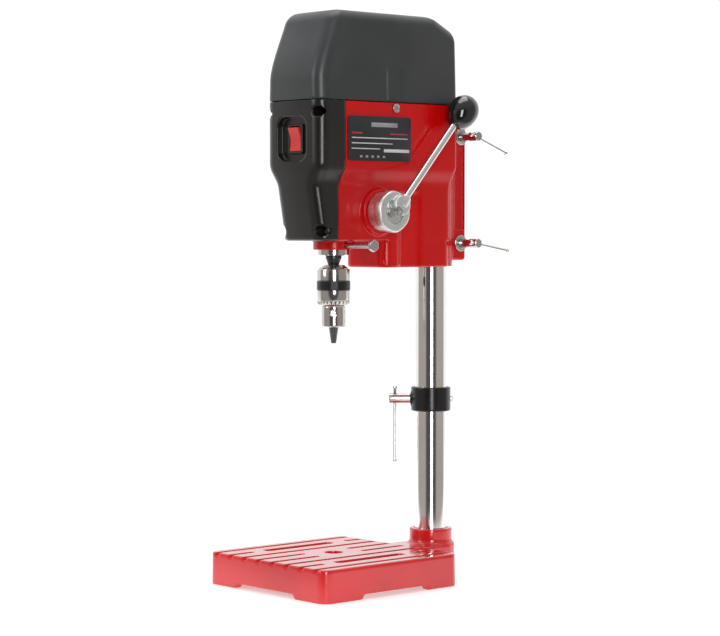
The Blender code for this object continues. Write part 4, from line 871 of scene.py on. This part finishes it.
def make_feed():
    lever_at = (LEVER_X, FEED_Y, FEED_Z)
    cast("feed_hub_casting", hub_field, (36, FEED_Y - 22, FEED_Z - 22), (63, FEED_Y + 22, FEED_Z + 22), 0.6,
         "feed", "feed_hub", ALUMINIUM)
    screw_head("hub_screw_head", slotted_field(5.3, 2.6, 1.1), 5.3, 2.6, (51.9, FEED_Y, FEED_Z), RIGHT,
               "feed", "feed_hub_screw", STEEL)
    rod = [(0, 121.2), (LEVER_R - 0.4, 121.2), (LEVER_R, 120.6), (LEVER_R, 11.4), (LEVER_R - 0.4, 11.0),
           (0, 11.0)]
    turned("lever_rod", rod, lever_at, LEVER_WAY, "feed", "feed_lever", CHROME, 0, 48)
    turned("lever_knob", knob_profile(), lever_at, LEVER_WAY, "feed", "feed_knob", BLACK,
           0, 64)


# ---- column and collar

COLUMN_BORE_R = 13.5
COLLAR_R = 19.8
COLLAR_BORE_R = 16.3
COLLAR_PAD_R = 7.5


def collar_field(p):
    """A ring with a flat pad round the hole for its screw."""
    x, y, z = p.T
    radial = np.hypot(x, y)
    along = x * COLLAR_WAY.x + y * COLLAR_WAY.y
    across = np.hypot(x * -COLLAR_WAY.y + y * COLLAR_WAY.x, z - COLLAR_Z)
    ring = soft_max(radial - COLLAR_R, slab(z, COLLAR_LOW[2], COLLAR_HIGH[2]), 1.3)
    ring = less(ring, radial - COLLAR_BORE_R, 0.5)
    pad = common(soft_max(across - COLLAR_PAD_R, along - COLLAR_R - 0.5, 0.6), 17.5 - along)
    return less(soft_min(ring, pad, 0.8), across - 3.3, 0.4)


def make_column():
    top, foot = COLUMN_HIGH[2], COLUMN_LOW[2]
    rim = COLUMN_R - 0.6
    tube = [(COLUMN_BORE_R, top), (rim, top), (COLUMN_R, top - 0.6), (COLUMN_R, foot + 0.6), (rim, foot),
            (COLUMN_BORE_R, foot)]
    turned("column_tube", tube, (0, 0, 0), UP, "column", "column", CHROME, 0, 128)
    low, high = box_mm("column_cap")
    plug_r = COLUMN_BORE_R - 0.3
    seat = high[2] - 2.0
    cap = [(0, high[2]), (14.6, high[2]), (COLUMN_R, high[2] - 1.2), (COLUMN_R, seat), (plug_r, seat),
           (plug_r, low[2]), (0, low[2])]
    turned("column_plug", cap, (0, 0, 0), UP, "column", "column_cap", COVER, 0.4, 64)
    cast("stop_collar", collar_field, COLLAR_LOW, COLLAR_HIGH, 0.7, "collar", "collar_ring",
         BLACK_PAINT)


# ---- chuck, quill and spindle

CHUCK_FOOT = 248.0
CHUCK_R = 15.8
NOSE_TOP = 308.2
KEY_HOLE_Z = 262.0
KEY_HOLE_TURNS = [math.radians(-42 + 120 * i) for i in range(3)]
KEY_TEETH = 24
JAW_SLOPE = math.tan(math.radians(8))
JAW_TIP = 232.5
JAW_TOP = 270.5
JAW_REACH = 8.5


def chuck_body_field(p):
    x, y, z = p.T
    u, v = x, y - SPINDLE_Y
    radial = np.hypot(u, v)
    lower = soft_max(radial - 11.6, slab(z, CHUCK_FOOT, 269.3), 2.2)
    core = common(radial - 9.7, slab(z, KEY_HOLE_Z, 305))
    cone = (radial - 9.4 - (NOSE_TOP - z) * 1.35) * 0.6
    top = soft_max(soft_max(cone, slab(z, 304.3, NOSE_TOP), 0.7), radial - 15.2, 0.7)
    body = soft_min(np.minimum(lower, core), top, 0.4)
    for turn in KEY_HOLE_TURNS:
        across = np.hypot(-u * math.sin(turn) + v * math.cos(turn), z - KEY_HOLE_Z)
        along = u * math.cos(turn) + v * math.sin(turn)
        body = less(body, common(across - 3.0, 9.0 - along), 0.5)
    mouth = radial - 5.3 - (z - CHUCK_FOOT) * JAW_SLOPE
    body = less(body, common(mouth, z - 279), 0.5)
    return less(body, common(radial - 5.2, 288.3 - z), 0.2)


def teeth(angle, radius, height):
    """Gear teeth for the chuck key round the sleeve's lower edge."""
    if height > 272 or radius < 12:
        return 0
    return -0.9 * (0.5 + 0.5 * math.tanh(3 * math.sin(KEY_TEETH * angle)))


def knurl(angle, radius, height):
    return -0.12 * (0.5 + 0.5 * math.cos(90 * angle)) if radius > 15.5 else 0


def jaw_field(turn):
    """One of three jaws: a third of a cone, its faces set back from the other two."""
    def field(p):
        x, y, z = p.T
        u, v = x, y - SPINDLE_Y
        radial = np.hypot(u, v)
        along = u * math.cos(turn) + v * math.sin(turn)
        aside = v * math.cos(turn) - u * math.sin(turn)
        cone = radial - 4.7 - (z - CHUCK_FOOT) * JAW_SLOPE
        tip = (radial - 2.45 - (z - JAW_TIP) * 0.147) * 0.98
        shape = common(cone, np.where(z < CHUCK_FOOT, tip, cone))
        body = soft_max(shape, slab(z, JAW_TIP, JAW_TOP), 0.7)
        wedge = np.abs(aside) * 0.5 - along * 0.866 + 0.12
        return soft_max(body, wedge, 0.25)
    return field


def make_chuck():
    at = (0, SPINDLE_Y, 0)
    cast("chuck_core", chuck_body_field, (-16, SPINDLE_Y - 16, CHUCK_FOOT), (16, SPINDLE_Y + 16, 308.4),
         0.55, "spindle", "chuck_body", BRIGHT)
    sleeve = [(14.6, 304.0), (15.5, 303.5), (CHUCK_R, 302.6), (CHUCK_R, 293.3), (15.1, 292.9), (15.1, 283.6),
              (CHUCK_R, 283.2), (CHUCK_R, 274.2), (15.5, 273.7), (CHUCK_R, 273.2), (15.6, 271.0),
              (14.2, 269.6), (10.0, 269.6), (10.0, 304.0)]
    turned("chuck_sleeve_shell", sleeve, at, UP, "chuck_sleeve", "chuck_sleeve", BRIGHT_PLATE, 0, 288, teeth)
    band = [(15.9, 292.6), (16.1, 292.3), (16.1, 284.1), (15.9, 283.8), (15.15, 283.8), (15.15, 292.6)]
    turned("chuck_grip_band", band, at, UP, "chuck_sleeve", "chuck_band", BAND_BLACK, 0, 360, knurl)
    for i in range(3):
        name = "jaw_%d" % (i + 1)
        cast(name, jaw_field(math.radians(30 + 120 * i)), (-JAW_REACH, SPINDLE_Y - JAW_REACH, JAW_TIP),
             (JAW_REACH, SPINDLE_Y + JAW_REACH, JAW_TOP), 0.42, name, "chuck_" + name, JAW_STEEL)


def make_quill():
    at = (0, SPINDLE_Y, 0)
    sleeve = [(11.3, 400), (14.4, 400), (15, 399.4), (15, 317.6), (14.2, 316.9), (12.4, 316.8),
              (12.0, 317.4), (8.3, 317.6), (8.3, 399)]
    turned("quill_sleeve", sleeve, at, UP, "quill", "quill", BRIGHT, 0, 96)
    shaft = [(0, 484), (4.6, 484), (5, 483.6), (5, 322), (7.6, 319.5), (7.6, 314.0), (7.1, 313.2),
             (5.6, 309.0), (5.1, 308.3), (4.8, 308.3), (4.2, 288.6), (0, 288.6)]
    turned("spindle_shaft", shaft, at, UP, "spindle", "spindle", DARK, 0.2, 64)


# ---- bars and screws

BAR_R = 1.7
BAR_TIP_R = 2.4
BAR_TIP = 3.0
CLAMP_DROP = {"lower": math.radians(9.5), "upper": math.radians(20.0)}
LUG_SIDE = LUG_HALF + 0.3
WASHER_R = 8.0
WASHER_T = 1.6
NUT_R = 7.5
NUT_T = 6.5
COVER_HEAD = (3.8, 2.2)
HOOD_HEAD = (4.2, 2.2)
LOCK_HEAD = (5.9, 4.2)


def tommy_bar(name, low, high, at, way, body, node):
    """A sliding bar with a swollen end on each side."""
    tip = [(0, 0), (BAR_TIP_R - 0.9, 0), (BAR_TIP_R, 0.9), (BAR_TIP_R, BAR_TIP - 0.2),
           (BAR_R, BAR_TIP + 0.3)]
    profile = [(r, high - h) for r, h in tip] + [(r, low + h) for r, h in reversed(tip)]
    turned(name, profile, at, way, body, node, CHROME, 0.25, 40)


def bar_screw(name, at, way, shaft_r, tip, hub_r, hub, body, node):
    """A screw with a round hub at its end, which a sliding bar passes through."""
    inner, outer = hub
    profile = [(0, outer), (hub_r - 0.8, outer), (hub_r, outer - 0.8), (hub_r, inner + 0.6),
               (hub_r - 0.6, inner), (shaft_r, inner), (shaft_r, tip + 0.5), (shaft_r - 0.5, tip), (0, tip)]
    turned(name, profile, at, way, body, node, STEEL, 0.25, 56)


def make_collar_screws():
    middle = Vector((0, 0, COLLAR_Z))
    bar_screw("collar_thumb_screw", middle, COLLAR_WAY, 3.0, 16.6, 5.2, (20.2, 42.0), "collar_screw",
              "collar_screw")
    tommy_bar("collar_tommy_bar", -63.5, 13.0, middle + COLLAR_WAY * 36.0, UP, "collar_bar", "collar_bar")
    screw_head("collar_stop_screw", socket_field(3.0, 5.2), 3.0, 5.2, middle - COLLAR_WAY * 16.7,
               -COLLAR_WAY, "collar", "collar_grub_screw", STEEL)
    screw_head("base_lock_screw", socket_field(3.0, 6.0), 3.0, 6.0, (0, COLUMN_R + 0.4, BASE_SCREW_Z),
               REARWARD, "base", "column_set_screw", DARK)


def make_clamps():
    for level, z in zip(("lower", "upper"), CLAMP_ZS):
        at = Vector((0, CLAMP_Y, z))
        drop = CLAMP_DROP[level]
        way = Vector((0, math.cos(drop), -math.sin(drop)))
        bar_screw(level + "_clamp_shaft", at, RIGHT, 4.0, -22.0, 4.8, (28.0, 40.0), level + "_clamp",
                  level + "_clamp_screw")
        tommy_bar(level + "_tommy_bar", -8.0, 47.0, at + RIGHT * 34.5, way, level + "_bar",
                  level + "_clamp_bar")
        face = LUG_SIDE + WASHER_T
        washer = [(WASHER_R - 0.4, face), (WASHER_R, face - 0.4), (WASHER_R, LUG_SIDE), (4.3, LUG_SIDE),
                  (4.3, face)]
        turned(level + "_washer", washer, at, RIGHT, "head", level + "_clamp_washer", STEEL, 0, 48)
        screw_head(level + "_nut", nut_field(NUT_R, NUT_T, 4.2), NUT_R, NUT_T, at - RIGHT * LUG_SIDE, -RIGHT,
                   "head", level + "_clamp_nut", STEEL, 0.4)


def make_cover_screws():
    places = [(x * side, z) for x, z in COVER_SCREWS for side in (1, -1)]
    for i, (x, z) in enumerate(places):
        screw_head("cover_screw_head_%d" % (i + 1), crossed_field(*COVER_HEAD), *COVER_HEAD,
                   (x, COVER_SCREW_SEAT_Y - 0.3, z), -REARWARD, "head",
                   "front_cover_screw_%d" % (i + 1), DARK)
    for side, way in (("right", RIGHT), ("left", -RIGHT)):
        at = Vector((0, HOOD_SCREW_Y, HOOD_SCREW_Z)) + way * (HEAD_HALF + 0.5)
        screw_head("hood_screw_head_" + side, crossed_field(*HOOD_HEAD), *HOOD_HEAD, at, way, "head",
                   "hood_screw_" + side, STEEL)


def make_lock_bolt():
    at = Vector((0, SPINDLE_Y, LOCK_Z))
    shaft = [(0, 56), (2.5, 56), (2.5, 15.8), (2.2, 15.6), (0, 15.6)]
    turned("lock_bolt_shaft", shaft, at, RIGHT, "quill_lock", "quill_lock_bolt", STEEL, 0, 40)
    screw_head("lock_bolt_head", nut_field(*LOCK_HEAD, 0), *LOCK_HEAD, at + RIGHT * 54.8, RIGHT,
               "quill_lock", None, STEEL, 0.4)


# ---- switch

SWITCH_FLOOR = FRONT_Y + 6.7
SWITCH_DEPTH = 14.0
ROCKER_TILT = math.radians(7)


def bezel_field(p):
    x, y, z = p.T
    rim = round_rect(x, z, (-10.5, SWITCH_Z - 14), (10.5, SWITCH_Z + 14), 2.0)
    rim = soft_max(rim, slab(y, SWITCH_FLOOR - 2.0, SWITCH_FLOOR), 0.8)
    box = round_rect(x, z, (-9, SWITCH_Z - 12.8), (9, SWITCH_Z + 12.8), 0.5)
    box = common(box, slab(y, SWITCH_FLOOR - 1, SWITCH_FLOOR + SWITCH_DEPTH))
    mouth = round_rect(x, z, (-7.9, SWITCH_Z - 12), (7.9, SWITCH_Z + 12), 0.6)
    return less(np.minimum(rim, box), common(mouth, y - SWITCH_FLOOR - 12), 0.4)


def rocker_field(p):
    """A tipped key with a swollen middle and a short groove in its upper half."""
    x, y, z = p.T
    dy, dz = y - SWITCH_FLOOR - 1.0, z - SWITCH_Z
    v = dy * math.cos(ROCKER_TILT) + dz * math.sin(ROCKER_TILT)
    w = dz * math.cos(ROCKER_TILT) - dy * math.sin(ROCKER_TILT)
    side = np.abs(x) - 7.6
    round_end = np.hypot(0.75 * v, w) - 11.6
    face = (-v - 2.5 - 2.0 * (np.abs(w) / 10.7) ** 1.4) * 0.9
    body = soft_max(soft_max(side, face, 0.7), soft_max(round_end, v - 5.0, 0.5), 0.7)
    return less(body, common(np.abs(w - 5.8) - 0.35, np.abs(x) - 3.4, v + 3.3), 0.15)


def make_switch():
    low = (-11, SWITCH_FLOOR - 2.2, SWITCH_Z - 14.2)
    high = (11, SWITCH_FLOOR + SWITCH_DEPTH + 0.2, SWITCH_Z + 14.2)
    cast("switch_bezel", bezel_field, low, high, 0.5, "head", "switch_body", BLACK_MATT)
    cast("switch_key", rocker_field, (-8, SWITCH_FLOOR - 5.5, SWITCH_Z - 12),
         (8, SWITCH_FLOOR + 6.8, SWITCH_Z + 12), 0.4, "rocker", "switch_rocker", SWITCH)


# ---- spring cup and cord inlet

GLAND_AT = (0, -60, 320)


def grips(angle, radius, height):
    return -0.35 * (0.5 + 0.5 * math.cos(24 * angle)) if radius > 17.2 and height > 38 else 0


def make_left_side():
    """The spring cup and the cord's inlet, on the side away from the photograph."""
    cup = [(0, 48.0), (3.2, 48.0), (3.6, 47.4), (7.6, 47.4), (8.4, 48.6), (16.3, 49.3), (17.5, 48.2),
           (17.5, 36.4), (16.0, 36.4), (16.0, 46.0), (0, 46.0)]
    turned("spring_cup", cup, (0, FEED_Y, FEED_Z), -RIGHT, "head", "spring_cap", COVER,
           0.5, 144, grips)
    gland = [(4.3, 42.6), (4.9, 42.2), (5.0, 41.0), (4.3, 40.6), (4.3, 39.6), (5.0, 39.2), (5.0, 38.0),
             (4.4, 37.6), (4.4, 36.6), (5.2, 36.0), (7.6, 34.0), (8.0, 33.4), (8.0, 31.3), (5.0, 31.3),
             (5.0, 26.0), (3.0, 26.0), (3.0, 42.6)]
    turned("cord_gland", gland, GLAND_AT, -RIGHT, "head", "cord_inlet", RUBBER, 0, 48)


# ---- nameplate

PLATE_CORNER_R = 3.0
PRINT_BACK = 0.05
PRINT_FRONT = 0.04


def make_nameplate():
    """A plain dark plate with blank bars where a maker would print the data."""
    low, high = box_mm("nameplate")
    width, height = high[1] - low[1], high[2] - low[2]
    place = Matrix(((0, 0, 1, 0), (1, 0, 0, 0), (0, 1, 0, 0), (0, 0, 0, 1)))
    r = PLATE_CORNER_R
    corners = ((high[1] - r, high[2] - r, 0), (low[1] + r, high[2] - r, 90),
               (low[1] + r, low[2] + r, 180), (high[1] - r, low[2] + r, 270))
    outline = []
    for u, v, start in corners:
        for i in range(7):
            turn = math.radians(start + 15 * i)
            outline.append((u + r * math.cos(turn), v + r * math.sin(turn)))
    mesh = prism_mesh("data_plate", outline, low[0], high[0], place, 0.2)
    new_piece("data_plate", mesh, "head", "nameplate", LABEL, 35)

    def bar(name, u0, v0, u1, v1, look):
        """A printed bar, placed by shares of the plate's width and height."""
        left, right = low[1] + u0 * width, low[1] + u1 * width
        foot, top = low[2] + v0 * height, low[2] + v1 * height
        points = [(left, foot), (right, foot), (right, top), (left, top)]
        piece = prism_mesh(name, points, high[0] - PRINT_BACK, high[0] + PRINT_FRONT, place, 0)
        new_piece(name, piece, "head", None, look)

    bar("plate_field", 0.56, 0.20, 0.97, 0.27, PRINT_WHITE)
    bar("plate_title", 0.36, 0.76, 0.78, 0.86, PRINT_GREY)
    for i in range(5):
        bar("plate_mark_%d" % (i + 1), 0.18 + 0.09 * i, 0.07, 0.22 + 0.09 * i, 0.12, PRINT_GREY)
    rows = ((0.50, 0.05, 0.95), (0.38, 0.05, 0.70), (0.26, 0.05, 0.50))
    for i, (v, u0, u1) in enumerate(rows):
        bar("plate_row_%d" % (i + 1), u0, v, u1, v + 0.022, PRINT_WHITE)
    bar("plate_red_left", 0.05, 0.60, 0.22, 0.635, PRINT_RED)
    bar("plate_red_right", 0.66, 0.60, 0.95, 0.625, PRINT_RED)


# ---- CAD pieces that stay

SLOT_LOOKS = dict((RED, HOOD, COVER, BLACK_PAINT, CHROME, STEEL, DARK, ALUMINIUM, RUBBER, SWITCH, LABEL))


def dress_frame():
    """Gives every CAD node that still shows the material of its slot."""
    slots = {part["node"]: part["material_slot"] for part in frame["record"]["subparts"]}
    for node, obj in frame["nodes"].items():
        material = SLOT_LOOKS[slots[node]]
        if not obj.material_slots:
            obj.data.materials.append(material)
        for slot in obj.material_slots:
            slot.material = material


# ---- floor, light, camera; metres

CAMERA_AT = Vector((1.61989, -1.54053, 0.34178))
AZIMUTH = math.radians(48.252)
PITCH = math.radians(-2.263)
LENS = 111.99
NEAR = Vector((math.sin(AZIMUTH), -math.cos(AZIMUTH), 0))
ASIDE = Vector((math.cos(AZIMUTH), math.sin(AZIMUTH), 0))

ROOM = (0.40, 0.37, 0.345)
SHADE = (0.085, 0.08, 0.085)
BACKDROP = (1.03, 1.03, 1.03)
CEILING = (0.52, 0.53, 0.55)
PALE = (0.86, 0.86, 0.87)
FLOOR_ROUGHNESS = 0.55
FLOOR_GLOW = 0.42
FLOOR_TIP = 0.62
FLOOR_FADE = 0.30
FLOOR_REACH = 30.0
FLOOR_DROP = 0.0004
LIGHTS_AT = Vector((0, -0.07, 0.30))


def make_stage():
    """A pale floor that opens out behind the object and fades out along its two front edges."""
    back = FLOOR_TIP - FLOOR_REACH
    corners = [NEAR * FLOOR_TIP, NEAR * back + ASIDE * FLOOR_REACH, NEAR * back - ASIDE * FLOOR_REACH]
    mesh = bpy.data.meshes.new("floor")
    mesh.from_pydata([tuple(corner) for corner in corners], [], [(0, 1, 2)])
    mesh.update()
    floor = bpy.data.objects.new("floor", mesh)
    bpy.context.scene.collection.objects.link(floor)
    s = Shader("floor_white")
    tone = s.mix(s.ramp(s.noise(2, 2), 0.3, 0.7), PALE, tuple(0.985 * c for c in PALE))
    rough = s.ramp(s.noise(8, 2), 0.3, 0.7, FLOOR_ROUGHNESS, FLOOR_ROUGHNESS * 1.05)
    sideways = s.node("ShaderNodeMath", operation="ABSOLUTE")
    s.link(s.along(s.place, ASIDE), sideways.inputs[0])
    reach = s.node("ShaderNodeMath", operation="ADD")
    s.link(s.along(s.place, NEAR), reach.inputs[0])
    s.link(sideways.outputs[0], reach.inputs[1])
    s.link(s.ramp(reach.outputs[0], FLOOR_FADE, FLOOR_TIP, 1, 0), s.out.inputs["Alpha"])
    s.out.inputs["Emission Color"].default_value = (1, 1, 1, 1)
    s.out.inputs["Emission Strength"].default_value = FLOOR_GLOW
    mesh.materials.append(s.finish(tone, rough))
    floor.location.z = -FLOOR_DROP


def make_world():
    """A white backdrop behind the object, a dim warm room on the camera's side and a pale ceiling."""
    world = bpy.data.worlds.new("studio")
    bpy.context.scene.world = world
    world.use_nodes = True
    s = Nodes(world.node_tree)
    way = s.node("ShaderNodeTexCoord").outputs["Generated"]
    color = s.mix(s.ramp(s.along(way, NEAR), 0.72, 0.88), ROOM, SHADE)
    color = s.mix(s.ramp(s.along(way, UP), 0.35, 0.8), color, CEILING)
    color = s.mix(s.ramp(s.along(way, -NEAR), 0.12, 0.32), color, BACKDROP)
    background = s.tree.nodes["Background"]
    s.link(color, background.inputs["Color"])
    background.inputs["Strength"].default_value = 1.0


def area(name, at, to, size, power):
    light = bpy.data.lights.new(name, "AREA")
    light.shape = "RECTANGLE"
    light.size, light.size_y = size
    light.energy = power
    obj = bpy.data.objects.new(name, light)
    obj.location = at
    obj.rotation_mode = "QUATERNION"
    obj.rotation_quaternion = (to - at).to_track_quat("-Z", "Y")
    bpy.context.scene.collection.objects.link(obj)


def make_light():
    """A tall strip by the camera, a box to its left and one overhead."""
    middle = LIGHTS_AT
    area("strip", middle + NEAR * 3.4 + ASIDE * 0.35 + UP * 0.5, middle, (0.8, 2.4), 46)
    area("left_box", middle + NEAR * 1.2 - ASIDE * 2.6 + UP * 1.0, middle, (1.0, 1.4), 16)
    area("top_box", Vector((-0.2, 0.0, 2.4)), middle, (1.6, 1.6), 22)


def make_camera():
    camera = bpy.data.cameras.new("camera")
    camera.lens = LENS
    camera.sensor_width = 36
    camera.clip_start = 0.05
    camera.clip_end = 100
    obj = bpy.data.objects.new("camera", camera)
    obj.location = CAMERA_AT
    forward = -NEAR * math.cos(PITCH) + UP * math.sin(PITCH)
    obj.rotation_mode = "QUATERNION"
    obj.rotation_quaternion = forward.to_track_quat("-Z", "Y")
    bpy.context.scene.collection.objects.link(obj)
    bpy.context.scene.camera = obj


make_camera()
make_stage()
make_world()
make_light()
bpy.context.scene.view_settings.view_transform = "Standard"
dress_frame()
make_base()
make_head()
make_cover()
make_hood()
make_feed()
make_column()
make_chuck()
make_quill()
make_collar_screws()
make_clamps()
make_cover_screws()
make_lock_bolt()
make_switch()
make_left_side()
make_nameplate()
